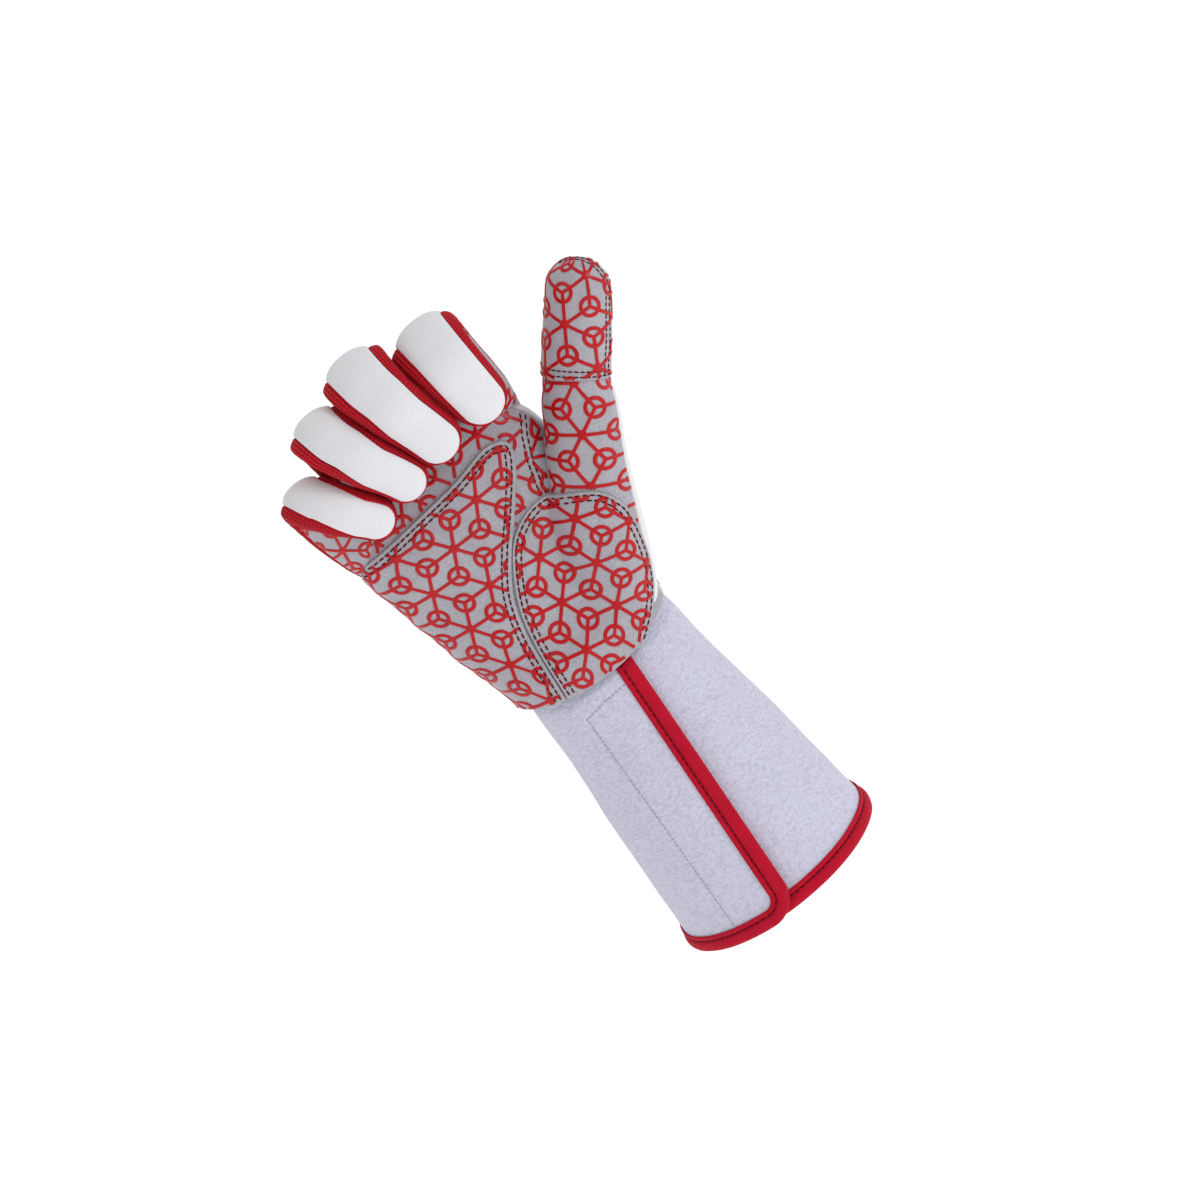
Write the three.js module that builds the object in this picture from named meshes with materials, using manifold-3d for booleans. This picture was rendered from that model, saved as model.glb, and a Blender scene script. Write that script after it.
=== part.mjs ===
import * as THREE from 'three';
import Module from 'manifold-3d';

// Fencing glove for the right hand, worn form, in millimetres.
// The origin is the centre of the cuff's mouth, +Z runs along the forearm to the hand,
// the palm faces -Y and the thumb points to +X.

const wasm = await Module();
wasm.setup();

// Clearances
const SEAM_GAP = 0.3;
const LAYER_GAP = 0.3;
const WRIST_EASE = 1;

// Cuff
const CUFF_LENGTH = 130;
const MOUTH_WIDTH = 92;
const MOUTH_DEPTH = 97;
const WRIST_WIDTH = 68.4;
const WRIST_DEPTH = 50;
const CUFF_WALL = 1.6;
const CUFF_TUCK = 10;
const LAP_WIDTH = 45;
const FLAP_EDGE_MOUTH = -3;
const FLAP_EDGE_WRIST = 9;
const FLAP_CORNER = 11;
const LAP_HOLD = 0.13;
const LAP_MEET = 0.5;
const BINDING_WIDTH = 6.5;
const BINDING_WALL = 0.7;
const CLOSURE_WIDTH = 16;
const CLOSURE_LENGTH = 84;
const CLOSURE_THICKNESS = 2;

// Hand
const PALM_LENGTH = 121;
const PALM_BREADTH = 95;
const HAND_BACK_DEPTH = 17;
const HAND_PALM_DEPTH = 15.5;
const PALM_SHIFT = -4.5;
const KNUCKLE_ARCH = 36;
const HEM_RISE = 5.5;
const HEM_REACH = 1.2;
const HAND_WALL = 1.5;
const PATCH_WALL = 1.2;
const THENAR_EDGE_DEPTH = 6;

// Fingers
const FINGER_REACH = 40;
const FINGER_WIDTH = 28.6;
const FINGER_BACK_DEPTH = 10.5;
const FINGER_PALM_DEPTH = 8.2;
const FINGER_WALL = 1.3;
const KNUCKLE_RADIUS = 25;
const BEND_RADIUS = 9.5;
const FINGER_START_Y = 1;
const ROOT_INSET = 18;
const ROOT_RUN = 4.5;

// Thumb
const THUMB_WIDTH = 26;
const THUMB_DEPTH = 24;
const THUMB_ROLL = 28;
const THUMB_TIP = 12;
const CAP_START = 0.714;

// Angles round a stall, from the middle of its back, in degrees
const BACK_EDGE = 53;
const GUSSET_EDGE = 118;
const PROXIMAL_TILT = 24;
const TIP_TILT = 190;
const PALM_SEAM_THUMB_SIDE = 105;
const PALM_SEAM_OUTER_SIDE = 84;
const THUMB_SEAM_BASE = 108;
const THUMB_SEAM_TIP = 84;
const CAP_SEAM_STEP = 8;

// How square the sections are: 1 is an ellipse, less is squarer
const HAND_POWER = 0.85;
const FINGER_POWER = 0.92;

// Cuff sections from mouth to top, as shares of the way from wrist size to mouth size
const CUFF_SECTIONS = [
  { along: 0, width: 1, depth: 1 },
  { along: 0.22, width: 0.8, depth: 0.82 },
  { along: 0.46, width: 0.58, depth: 0.6 },
  { along: 0.7, width: 0.3, depth: 0.33 },
  { along: 0.86, width: 0.2, depth: 0.12 },
  { along: 0.9, width: 0.16, depth: 0.08 },
  { along: 0.92, width: 0.13, depth: 0 },
  { along: 0.94, width: 0.07, depth: 0 },
  { along: 0.965, width: 0, depth: 0 },
  { along: 1, width: 0, depth: 0 },
];

// Hand sections from its lower edge to the knuckles, as shares of the way from wrist to palm
const HAND_SECTIONS = [
  { along: 0, width: 0, depth: 0 },
  { along: 0.14, width: 0.07, depth: 0 },
  { along: 0.25, width: 0.22, depth: 0.3 },
  { along: 0.38, width: 0.39, depth: 0.62 },
  { along: 0.64, width: 0.64, depth: 0.88 },
  { along: 0.82, width: 0.82, depth: 0.97 },
  { along: 1, width: 1, depth: 1 },
];

// Fingers: places across as shares of half the palm's breadth, knuckles as shares of the
// palm's length, runs as shares of FINGER_REACH, width as a share of FINGER_WIDTH
const FINGERS = [
  { name: 'index', root: 0.72, bend: 0.67, tip: 0.695, knuckle: 0.926, first: 1.05,
    curl: 133, second: 0.075, third: 0.345, width: 1.02 },
  { name: 'middle', root: 0.075, bend: 0.035, tip: 0.2, knuckle: 0.99, first: 1.06,
    curl: 148, second: 0.21, third: 0.445, width: 0.95 },
  { name: 'ring', root: -0.455, bend: -0.495, tip: -0.21, knuckle: 0.926, first: 1.03,
    curl: 145, second: 0.175, third: 0.383, width: 0.84 },
  { name: 'little', root: -0.8, bend: -0.945, tip: -0.61, knuckle: 0.8, first: 0.93,
    curl: 130, second: 0.04, third: 0.152, width: 0.8 },
];

// Swelling of a finger along its length, as shares of its full width and depth
const FINGER_SWELL = [
  { along: 0, width: 0.62, depth: 0.7 },
  { along: 0.25, width: 0.95, depth: 0.95 },
  { along: 0.55, width: 1, depth: 1 },
  { along: 0.8, width: 0.9, depth: 0.97 },
  { along: 1, width: 0.83, depth: 0.9 },
];

// Thumb sections from wrist to tip: out as shares of half the palm's breadth, front as shares
// of the hand's back depth, up as shares of the palm's length, wide and deep of its own sizes
const THUMB_SECTIONS = [
  { out: 0.38, front: -0.47, up: 0.066, wide: 1.1, deep: 1.1 },
  { out: 0.52, front: -0.59, up: 0.2, wide: 1.3, deep: 1.28 },
  { out: 0.69, front: -0.71, up: 0.362, wide: 1.38, deep: 1.33 },
  { out: 0.985, front: -0.76, up: 0.583, wide: 1.25, deep: 1.2 },
  { out: 1.18, front: -0.76, up: 0.711, wide: 1.19, deep: 1.1 },
  { out: 1.36, front: -0.74, up: 0.822, wide: 1.05, deep: 1.02 },
  { out: 1.63, front: -0.71, up: 0.946, wide: 0.98, deep: 0.96 },
  { out: 1.83, front: -0.71, up: 1.042, wide: 0.93, deep: 0.93 },
];

// Outlines of the sewn patches: out as shares of half the palm's breadth, up as shares of the
// palm's length
const PALM_PATCH_OUTLINE = [
  { out: -1.6, up: 0.0 },
  { out: -1.6, up: 0.75 },
  { out: -1.07, up: 0.764 },
  { out: -0.5, up: 0.79 },
  { out: 0, up: 0.808 },
  { out: 0.34, up: 0.83 },
  { out: 0.51, up: 0.81 },
  { out: 0.54, up: 0.772 },
  { out: 0.43, up: 0.704 },
  { out: 0.17, up: 0.59 },
  { out: -0.02, up: 0.512 },
  { out: -0.22, up: 0.41 },
  { out: -0.33, up: 0.312 },
  { out: -0.4, up: 0.195 },
  { out: -0.47, up: 0.0 },
];
const THENAR_PATCH_OUTLINE = [
  { out: -0.44, up: 0.0 },
  { out: -0.38, up: 0.18 },
  { out: -0.27, up: 0.338 },
  { out: -0.08, up: 0.468 },
  { out: 0.11, up: 0.545 },
  { out: 0.36, up: 0.58 },
  { out: 0.61, up: 0.563 },
  { out: 0.86, up: 0.51 },
  { out: 0.96, up: 0.43 },
  { out: 0.96, up: 0.352 },
  { out: 0.88, up: 0.23 },
  { out: 0.76, up: 0.132 },
  { out: 0.63, up: 0.072 },
  { out: 0.5, up: 0.03 },
  { out: 0.38, up: 0.0 },
];

// Parts of a finger, from its back round to its palm side
const FINGER_PARTS = [
  { part: 'back', finish: 'suede' },
  { part: 'gusset', finish: 'knit' },
  { part: 'palm', finish: 'grip' },
];

// Fineness of the faceted surfaces
const WELD_SIZE = 0.0005;
const CUFF_COLUMNS = 30;
const CUFF_LEVELS = [0.05, 0.16, 0.32, 0.5, 0.7, 0.86, 0.9, 0.92, 0.94, 0.965, 1];
const CORNER_STEPS = 5;
const CLOSURE_STEPS = [4, 6];
const OUTLINE_STEPS = 3;
const HAND_LEG_STEPS = 8;
const HAND_ARCH_STEPS = 14;
const HEM_STEPS = 8;
const HAND_ROUND_STEPS = [5, 6];
const STALL_LEG_STEPS = 10;
const STALL_TIP_STEPS = 6;
const CAP_STEPS = 5;
const FINGER_ROUND_STEPS = [2, 3, 2];
const THUMB_ROUND_STEPS = [4, 4];

const X_AXIS = new THREE.Vector3(1, 0, 0);
const Y_AXIS = new THREE.Vector3(0, 1, 0);
const Z_AXIS = new THREE.Vector3(0, 0, 1);
const degrees = THREE.MathUtils.degToRad;
const halfPalm = PALM_BREADTH / 2;
const handStart = CUFF_LENGTH - CUFF_TUCK;

// Colours of the cloths, leathers and tapes
const FINISHES = {
  grip: { color: 0xb0acb0, roughness: 0.85 },
  suede: { color: 0xe9e9ec, roughness: 0.9 },
  knit: { color: 0xb41a2a, roughness: 0.95 },
  cuffCloth: { color: 0xd9d9e6, roughness: 0.9 },
  tape: { color: 0xc00c2c, roughness: 0.8 },
  hookTape: { color: 0xf0f0f0, roughness: 0.95 },
};

// Smooth reading of one column of a table at a share of its length, with no overshoot
function readTable(table, column, along) {
  const last = table.length - 1;
  let i = 0;
  while (i < last - 1 && along > table[i + 1].along) {
    i += 1;
  }
  const spanAt = (k) => table[k + 1].along - table[k].along;
  const rise = (k) => (table[k + 1][column] - table[k][column]) / spanAt(k);
  const slope = (k) => {
    const before = rise(Math.max(k - 1, 0));
    const after = rise(Math.min(k, last - 1));
    return before * after > 0 ? (2 * before * after) / (before + after) : 0;
  };
  const span = spanAt(i);
  const t = THREE.MathUtils.clamp((along - table[i].along) / span, 0, 1);
  const startPart = 2 * t ** 3 - 3 * t ** 2 + 1;
  const startSlope = (t ** 3 - 2 * t ** 2 + t) * span;
  const endSlope = (t ** 3 - t ** 2) * span;
  return startPart * table[i][column] + (1 - startPart) * table[i + 1][column]
    + startSlope * slope(i) + endSlope * slope(i + 1);
}

// Welded triangles from points and index triples, facing outwards
class Body {
  constructor() {
    this.points = [];
    this.triangles = [];
    this.known = new Map();
  }

  point(p) {
    const key = [p.x, p.y, p.z].map((value) => Math.round(value / WELD_SIZE)).join(' ');
    if (!this.known.has(key)) {
      this.known.set(key, this.points.length);
      this.points.push(p);
    }
    return this.known.get(key);
  }

  triangle(a, b, c) {
    const corners = [a, b, c].map((p) => this.point(p));
    if (new Set(corners).size === 3) {
      this.triangles.push(corners);
    }
  }

  quad(a, b, c, d) {
    this.triangle(a, b, c);
    this.triangle(a, c, d);
  }

  volume() {
    let total = 0;
    for (const [a, b, c] of this.triangles) {
      const normal = new THREE.Vector3().crossVectors(this.points[b], this.points[c]);
      total += this.points[a].dot(normal) / 6;
    }
    return total;
  }

  solid() {
    if (this.volume() < 0) {
      this.triangles = this.triangles.map(([a, b, c]) => [a, c, b]);
    }
    const vertProperties = new Float32Array(this.points.flatMap((p) => [p.x, p.y, p.z]));
    const triVerts = new Uint32Array(this.triangles.flat());
    return new wasm.Manifold(new wasm.Mesh({ numProp: 3, vertProperties, triVerts }));
  }
}

// Solid between two grids of points with the same rows and columns
function solidBetween(outer, inner, open = { first: true, last: true }) {
  const body = new Body();
  const rows = outer.length - 1;
  const columns = outer[0].length - 1;
  for (let i = 0; i < rows; i += 1) {
    for (let j = 0; j < columns; j += 1) {
      body.quad(outer[i][j], outer[i + 1][j], outer[i + 1][j + 1], outer[i][j + 1]);
      body.quad(inner[i][j], inner[i][j + 1], inner[i + 1][j + 1], inner[i + 1][j]);
    }
    if (open.first) {
      body.quad(outer[i][0], inner[i][0], inner[i + 1][0], outer[i + 1][0]);
    }
    if (open.last) {
      body.quad(outer[i][columns], outer[i + 1][columns], inner[i + 1][columns], inner[i][columns]);
    }
  }
  for (let j = 0; j < columns; j += 1) {
    body.quad(outer[0][j], outer[0][j + 1], inner[0][j + 1], inner[0][j]);
    body.quad(outer[rows][j], inner[rows][j], inner[rows][j + 1], outer[rows][j + 1]);
  }
  return body.solid();
}

// Solid swept through rings of points, closed at both ends
function solidAlong(rings) {
  const body = new Body();
  const count = rings[0].length;
  for (let i = 0; i < rings.length - 1; i += 1) {
    for (let j = 0; j < count; j += 1) {
      const k = (j + 1) % count;
      body.quad(rings[i][j], rings[i + 1][j], rings[i + 1][k], rings[i][k]);
    }
  }
  const flat = (ring) => ring.map((p) => new THREE.Vector2(p.section.x, p.section.y));
  const cap = THREE.ShapeUtils.triangulateShape(flat(rings[0]), []);
  const end = rings[rings.length - 1];
  for (const [a, b, c] of cap) {
    body.triangle(rings[0][a], rings[0][b], rings[0][c]);
    body.triangle(end[a], end[c], end[b]);
  }
  return body.solid();
}

// Cuff surface: across is the length from the flap's free edge, up is the height, out is
// the distance from the outer face
const lapStep = CUFF_WALL + 2 * LAYER_GAP + CLOSURE_THICKNESS;

function cuffHalf(up) {
  const along = THREE.MathUtils.clamp(up / CUFF_LENGTH, 0, 1);
  const width = readTable(CUFF_SECTIONS, 'width', along);
  const depth = readTable(CUFF_SECTIONS, 'depth', along);
  return {
    width: (WRIST_WIDTH + (MOUTH_WIDTH - WRIST_WIDTH) * width - lapStep) / 2,
    depth: (WRIST_DEPTH + (MOUTH_DEPTH - WRIST_DEPTH) * depth - lapStep) / 2,
  };
}

function cuffSpan(up) {
  return 2 * Math.PI * cuffHalf(up).width + LAP_WIDTH;
}

function cuffPoint(across, up, out) {
  const half = cuffHalf(up);
  const edge = FLAP_EDGE_MOUTH + (FLAP_EDGE_WRIST - FLAP_EDGE_MOUTH) * (up / CUFF_LENGTH);
  const angle = Math.asin((edge - lapStep / 2) / half.width) - across / half.width;
  const turned = across / (2 * Math.PI * half.width);
  const lift = lapStep * (1 - THREE.MathUtils.smoothstep(turned, LAP_HOLD, LAP_MEET));
  const normal = new THREE.Vector2(half.depth * Math.sin(angle), -half.width * Math.cos(angle));
  normal.normalize().multiplyScalar(lift + out);
  return new THREE.Vector3(
    lapStep / 2 + half.width * Math.sin(angle) + normal.x,
    lapStep / 2 - half.depth * Math.cos(angle) + normal.y,
    up,
  );
}

// Height of a level, where the rounded corner lifts the edge of the mouth
function cuffHeight(level, low) {
  return CUFF_LENGTH * level + low * (1 - level) ** 4;
}

function makeCuff() {
  const grid = (out) => {
    const columns = [];
    for (let i = 0; i <= CUFF_COLUMNS + CORNER_STEPS; i += 1) {
      const near = FLAP_CORNER * (1 - Math.cos((Math.PI / 2) * (i / CORNER_STEPS)));
      const far = FLAP_CORNER
        + (cuffSpan(0) - FLAP_CORNER) * ((i - CORNER_STEPS) / CUFF_COLUMNS);
      const across = i < CORNER_STEPS ? near : far;
      const inset = FLAP_CORNER - Math.min(across, FLAP_CORNER);
      const low = FLAP_CORNER - Math.sqrt(FLAP_CORNER ** 2 - inset ** 2);
      const share = across / cuffSpan(0);
      columns.push([0, ...CUFF_LEVELS].map((level) => {
        const up = cuffHeight(level, low);
        return cuffPoint(share * cuffSpan(up), up, out);
      }));
    }
    return columns;
  };
  return solidBetween(grid(0), grid(-CUFF_WALL));
}

// Folded tape over the flap's free edge, its rounded corner and the mouth's rim
function makeBinding() {
  const stations = [];
  const top = handStart - 2 * LAYER_GAP;
  const levels = CUFF_LEVELS.map((level) => cuffHeight(level, FLAP_CORNER));
  const below = levels.filter((up) => up < top - 1).reverse();
  for (const up of [top, ...below]) {
    stations.push({ across: 0, up, inX: 1, inZ: 0 });
  }
  for (let i = 0; i < CORNER_STEPS; i += 1) {
    const angle = (Math.PI / 2) * (i / CORNER_STEPS);
    stations.push({
      across: FLAP_CORNER * (1 - Math.cos(angle)),
      up: FLAP_CORNER * (1 - Math.sin(angle)),
      inX: Math.cos(angle),
      inZ: Math.sin(angle),
    });
  }
  for (let i = 0; i <= CUFF_COLUMNS; i += 1) {
    const across = FLAP_CORNER + (cuffSpan(0) - FLAP_CORNER) * (i / CUFF_COLUMNS);
    stations.push({ across, up: 0, inX: 0, inZ: 1 });
  }
  const face = LAYER_GAP;
  const skin = LAYER_GAP + BINDING_WALL;
  const section = [
    [BINDING_WIDTH, face],
    [BINDING_WIDTH, skin],
    [-face, skin],
    [-skin, face],
    [-skin, -CUFF_WALL - face],
    [-face, -CUFF_WALL - skin],
    [BINDING_WIDTH, -CUFF_WALL - skin],
    [BINDING_WIDTH, -CUFF_WALL - face],
    [-face, -CUFF_WALL - face],
    [-face, face],
  ];
  const rings = stations.map((at) => section.map(([inward, out]) => {
    const up = at.up + inward * at.inZ;
    const across = at.across * (cuffSpan(up) / cuffSpan(0)) + inward * at.inX;
    const point = cuffPoint(across, up, out);
    point.section = { x: inward, y: out };
    return point;
  }));
  return solidAlong(rings);
}

// Plain pair of hook and loop tapes, pressed together between the two laps
function makeClosure() {
  const start = Math.max(FLAP_CORNER, BINDING_WIDTH + 2 * LAYER_GAP);
  const [wide, long] = CLOSURE_STEPS;
  const grid = (out) => {
    const columns = [];
    for (let i = 0; i <= wide; i += 1) {
      const column = [];
      for (let j = 0; j <= long; j += 1) {
        const up = start + CLOSURE_LENGTH * (j / long);
        column.push(cuffPoint(start + CLOSURE_WIDTH * (i / wide), up, out));
      }
      columns.push(column);
    }
    return columns;
  };
  const top = -CUFF_WALL - LAYER_GAP;
  return solidBetween(grid(top), grid(top - CLOSURE_THICKNESS));
}

// Stall: a round ended tube. Its frame at a share of its length gives centre, tangent, side
// towards the thumb, normal out of the back, and half sizes.
function stallPoint(stall, station, polar, grow) {
  const at = stall.frame(station.along);
  const rounded = (value, power) => Math.sign(value) * Math.abs(value) ** power;
  const outward = rounded(Math.sin(polar), stall.power);
  const upward = rounded(Math.cos(polar), stall.power);
  const sideways = rounded(Math.cos(station.turn), stall.planPower) * (at.half + grow) * outward;
  const forward = rounded(Math.sin(station.turn), stall.planPower) * (at.tip + grow) * outward;
  const depth = upward > 0 ? at.back + grow : at.palm + grow;
  return at.centre.clone()
    .addScaledVector(at.side, sideways)
    .addScaledVector(at.tangent, station.turn === 0 || station.turn === Math.PI ? 0 : forward)
    .addScaledVector(at.normal, depth * upward);
}

// Stations of a curve that runs up one side of a stall, round its tip and back down
function makeStations(legSteps, tipSteps, start = 0) {
  const stations = [];
  for (let i = 0; i <= legSteps; i += 1) {
    stations.push({ along: start + (1 - start) * (i / legSteps), turn: 0 });
  }
  for (let i = 1; i < tipSteps; i += 1) {
    stations.push({ along: 1, turn: Math.PI * (i / tipSteps) });
  }
  for (let i = legSteps; i >= 0; i -= 1) {
    stations.push({ along: start + (1 - start) * (i / legSteps), turn: Math.PI });
  }
  return stations;
}

// Points of a stall between two of its seams, at a distance from its face
function makeGrid(stall, stations, from, to, steps, grow) {
  return stations.map((station) => {
    const line = [];
    for (let k = 0; k <= steps; k += 1) {
      const polar = from(station) + (to(station) - from(station)) * (k / steps);
      line.push(stallPoint(stall, station, polar, grow));
    }
    return line;
  });
}

// Sewn panel between two seams, each given by its angle from the back's middle
function makePanel(stall, stations, index, wall, face = 0, inset = 0) {
  const gap = SEAM_GAP / 2 / stall.seamRadius;
  const first = index > 0;
  const last = index < stall.steps.length - 1;
  const from = (s) => stall.seams[index](s) + (first ? gap + inset : 0);
  const to = (s) => stall.seams[index + 1](s) - (last ? gap : 0);
  const grid = (grow) => makeGrid(stall, stations, from, to, stall.steps[index], grow);
  return solidBetween(grid(face), grid(face - wall), { first, last });
}

// Whole round form of a stall, used to cut and trim its neighbours
function makeForm(stall, stations, grow) {
  const body = new Body();
  const grid = stations.map(() => []);
  stall.steps.forEach((steps, index) => {
    const part = makeGrid(
      stall, stations, stall.seams[index], stall.seams[index + 1], steps, grow,
    );
    part.forEach((line, i) => grid[i].push(...(index > 0 ? line.slice(1) : line)));
  });
  const last = grid[0].length - 1;
  for (let i = 0; i < grid.length - 1; i += 1) {
    for (let k = 0; k < last; k += 1) {
      body.quad(grid[i][k], grid[i + 1][k], grid[i + 1][k + 1], grid[i][k + 1]);
    }
  }
  const centre = stall.frame(stations[0].along).centre;
  const end = grid[grid.length - 1];
  for (let k = 0; k < last; k += 1) {
    body.triangle(centre, grid[0][k], grid[0][k + 1]);
    body.triangle(centre, end[k + 1], end[k]);
  }
  return body.solid();
}

const fixed = (angle) => () => degrees(angle);

// Hand, from its lower edge over the cuff to the arch of the knuckles
const palmSeam = (station) => {
  const middle = (PALM_SEAM_THUMB_SIDE + PALM_SEAM_OUTER_SIDE) / 2;
  const swing = (PALM_SEAM_THUMB_SIDE - PALM_SEAM_OUTER_SIDE) / 2;
  return degrees(middle + swing * Math.cos(station.turn));
};
const hand = {
  power: HAND_POWER,
  planPower: HAND_POWER,
  seams: [fixed(0), palmSeam, fixed(180)],
  steps: HAND_ROUND_STEPS,
  seamRadius: HAND_BACK_DEPTH,
  frame(along) {
    const width = readTable(HAND_SECTIONS, 'width', along);
    const depth = readTable(HAND_SECTIONS, 'depth', along);
    const ease = WRIST_EASE + HAND_WALL;
    const blend = (wrist, palm, share) => wrist + (palm - wrist) * share;
    return {
      centre: new THREE.Vector3(
        PALM_SHIFT * width,
        0,
        handStart + along * (PALM_LENGTH - KNUCKLE_ARCH),
      ),
      tangent: Z_AXIS,
      side: X_AXIS,
      normal: Y_AXIS,
      half: blend(WRIST_WIDTH / 2 + ease, halfPalm, width),
      back: blend(WRIST_DEPTH / 2 + ease, HAND_BACK_DEPTH, depth),
      palm: blend(WRIST_DEPTH / 2 + ease, HAND_PALM_DEPTH, depth),
      tip: KNUCKLE_ARCH,
    };
  },
};

// Finger spine in the plane of its curl: straight runs and round bends
function makeFinger(row) {
  const runs = [
    { length: ROOT_RUN, from: 0, to: 0 },
    { length: KNUCKLE_RADIUS * degrees(PROXIMAL_TILT), from: 0, to: PROXIMAL_TILT },
    { length: FINGER_REACH * row.first, from: PROXIMAL_TILT, to: PROXIMAL_TILT },
    { length: BEND_RADIUS * degrees(row.curl - PROXIMAL_TILT), from: PROXIMAL_TILT, to: row.curl },
    { length: FINGER_REACH * row.second, from: row.curl, to: row.curl },
    { length: BEND_RADIUS * degrees(TIP_TILT - row.curl), from: row.curl, to: TIP_TILT },
    { length: FINGER_REACH * row.third, from: TIP_TILT, to: TIP_TILT },
  ];
  const total = runs.reduce((sum, run) => sum + run.length, 0);
  const bendAt = (runs[0].length + runs[1].length + runs[2].length + runs[3].length / 2) / total;
  const across = [
    { along: 0, x: row.root },
    { along: bendAt, x: row.bend },
    { along: 1, x: row.tip },
  ];
  const spine = (along) => {
    let left = along * total;
    let y = FINGER_START_Y;
    let z = handStart + PALM_LENGTH * row.knuckle - ROOT_INSET;
    let tilt = 0;
    for (const run of runs) {
      const length = Math.min(left, run.length);
      const from = degrees(run.from);
      tilt = from + (degrees(run.to) - from) * (length / run.length);
      if (run.from === run.to) {
        y -= length * Math.sin(from);
        z += length * Math.cos(from);
      } else {
        const radius = run.length / (degrees(run.to) - from);
        y += radius * (Math.cos(tilt) - Math.cos(from));
        z += radius * (Math.sin(tilt) - Math.sin(from));
      }
      left -= length;
      if (left <= 0) {
        break;
      }
    }
    const x = PALM_SHIFT + halfPalm * readTable(across, 'x', along);
    return { centre: new THREE.Vector3(x, y, z), tilt };
  };
  return {
    name: row.name,
    power: FINGER_POWER,
    planPower: 1,
    seams: [fixed(0), fixed(BACK_EDGE), fixed(GUSSET_EDGE), fixed(180)],
    steps: FINGER_ROUND_STEPS,
    seamRadius: FINGER_BACK_DEPTH,
    frame(along) {
      const { centre, tilt } = spine(along);
      const step = 0.01;
      const ahead = spine(Math.min(along + step, 1)).centre.x;
      const behind = spine(Math.max(along - step, 0)).centre.x;
      const span = (Math.min(along + step, 1) - Math.max(along - step, 0)) * total;
      const tangent = new THREE.Vector3((ahead - behind) / span, -Math.sin(tilt), Math.cos(tilt));
      tangent.normalize();
      const side = X_AXIS.clone().addScaledVector(tangent, -tangent.x).normalize();
      const width = readTable(FINGER_SWELL, 'width', along);
      const depth = readTable(FINGER_SWELL, 'depth', along) * (1 + row.width) / 2;
      const half = (FINGER_WIDTH / 2) * row.width * width;
      return {
        centre,
        tangent,
        side,
        normal: new THREE.Vector3().crossVectors(tangent, side),
        half,
        back: FINGER_BACK_DEPTH * depth,
        palm: FINGER_PALM_DEPTH * depth,
        tip: half,
      };
    },
  };
}

// Thumb spine through its table of sections, rolled so that its back looks outwards
const thumbSpine = new THREE.CatmullRomCurve3(THUMB_SECTIONS.map((row) => new THREE.Vector3(
  halfPalm * row.out,
  HAND_BACK_DEPTH * row.front,
  handStart + PALM_LENGTH * row.up,
)));
const thumbRows = THUMB_SECTIONS.map((row, i) => ({
  along: i / (THUMB_SECTIONS.length - 1),
  wide: row.wide,
  deep: row.deep,
}));
const thumbSeam = (station) => {
  const angle = THUMB_SEAM_BASE + (THUMB_SEAM_TIP - THUMB_SEAM_BASE) * station.along;
  return degrees(angle);
};
const thumb = {
  power: FINGER_POWER,
  planPower: 1,
  seams: [fixed(0), thumbSeam, fixed(180)],
  steps: THUMB_ROUND_STEPS,
  seamRadius: THUMB_DEPTH / 2,
  frame(along) {
    const tangent = thumbSpine.getTangent(along);
    const roll = degrees(THUMB_ROLL);
    const normal = new THREE.Vector3(Math.sin(roll), Math.cos(roll), 0);
    normal.addScaledVector(tangent, -normal.dot(tangent)).normalize();
    const deep = (THUMB_DEPTH / 2) * readTable(thumbRows, 'deep', along);
    return {
      centre: thumbSpine.getPoint(along),
      tangent,
      side: new THREE.Vector3().crossVectors(normal, tangent),
      normal,
      half: (THUMB_WIDTH / 2) * readTable(thumbRows, 'wide', along),
      back: deep,
      palm: deep,
      tip: THUMB_TIP,
    };
  },
};

// Straight block with an outline in the XZ plane, between two depths
function makeBlock(outline, front, back) {
  const block = new THREE.ExtrudeGeometry(new THREE.Shape(outline), {
    depth: back - front,
    bevelEnabled: false,
  });
  block.rotateX(Math.PI / 2);
  block.translate(0, back, 0);
  const body = new Body();
  const place = block.getAttribute('position');
  const at = (i) => new THREE.Vector3().fromBufferAttribute(place, i);
  for (let i = 0; i < place.count; i += 3) {
    body.triangle(at(i), at(i + 1), at(i + 2));
  }
  return body.solid();
}

// Block over a smooth outline on the palm, from in front of the hand to a depth
function makeOutlineBlock(outline, grow, back) {
  const corners = outline.map((row) => new THREE.Vector2(
    halfPalm * row.out,
    handStart + PALM_LENGTH * row.up,
  ));
  const points = new THREE.SplineCurve(corners).getPoints((corners.length - 1) * OUTLINE_STEPS);
  const grown = points.map((p, i) => {
    const before = points[Math.max(i - 1, 0)];
    const after = points[Math.min(i + 1, points.length - 1)];
    const along = after.clone().sub(before).normalize();
    return new THREE.Vector2(p.x - along.y * grow, p.y + along.x * grow);
  });
  const low = handStart - CUFF_TUCK;
  grown.push(new THREE.Vector2(grown[grown.length - 1].x, low));
  grown.push(new THREE.Vector2(grown[0].x, low));
  return makeBlock(grown, -halfPalm, back);
}

// What the hand's lower edge leaves away, higher at both sides than over the palm
function makeHemBlock() {
  const half = WRIST_WIDTH / 2 + WRIST_EASE + HAND_WALL;
  const outline = [];
  for (let i = -HEM_STEPS; i <= HEM_STEPS; i += 1) {
    const share = HEM_REACH * (i / HEM_STEPS);
    outline.push(new THREE.Vector2(half * share, handStart + HEM_RISE * share ** 2));
  }
  outline.push(new THREE.Vector2(half * HEM_REACH, handStart - CUFF_TUCK));
  outline.push(new THREE.Vector2(-half * HEM_REACH, handStart - CUFF_TUCK));
  return makeBlock(outline, -halfPalm, halfPalm);
}

const pieces = [];

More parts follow.
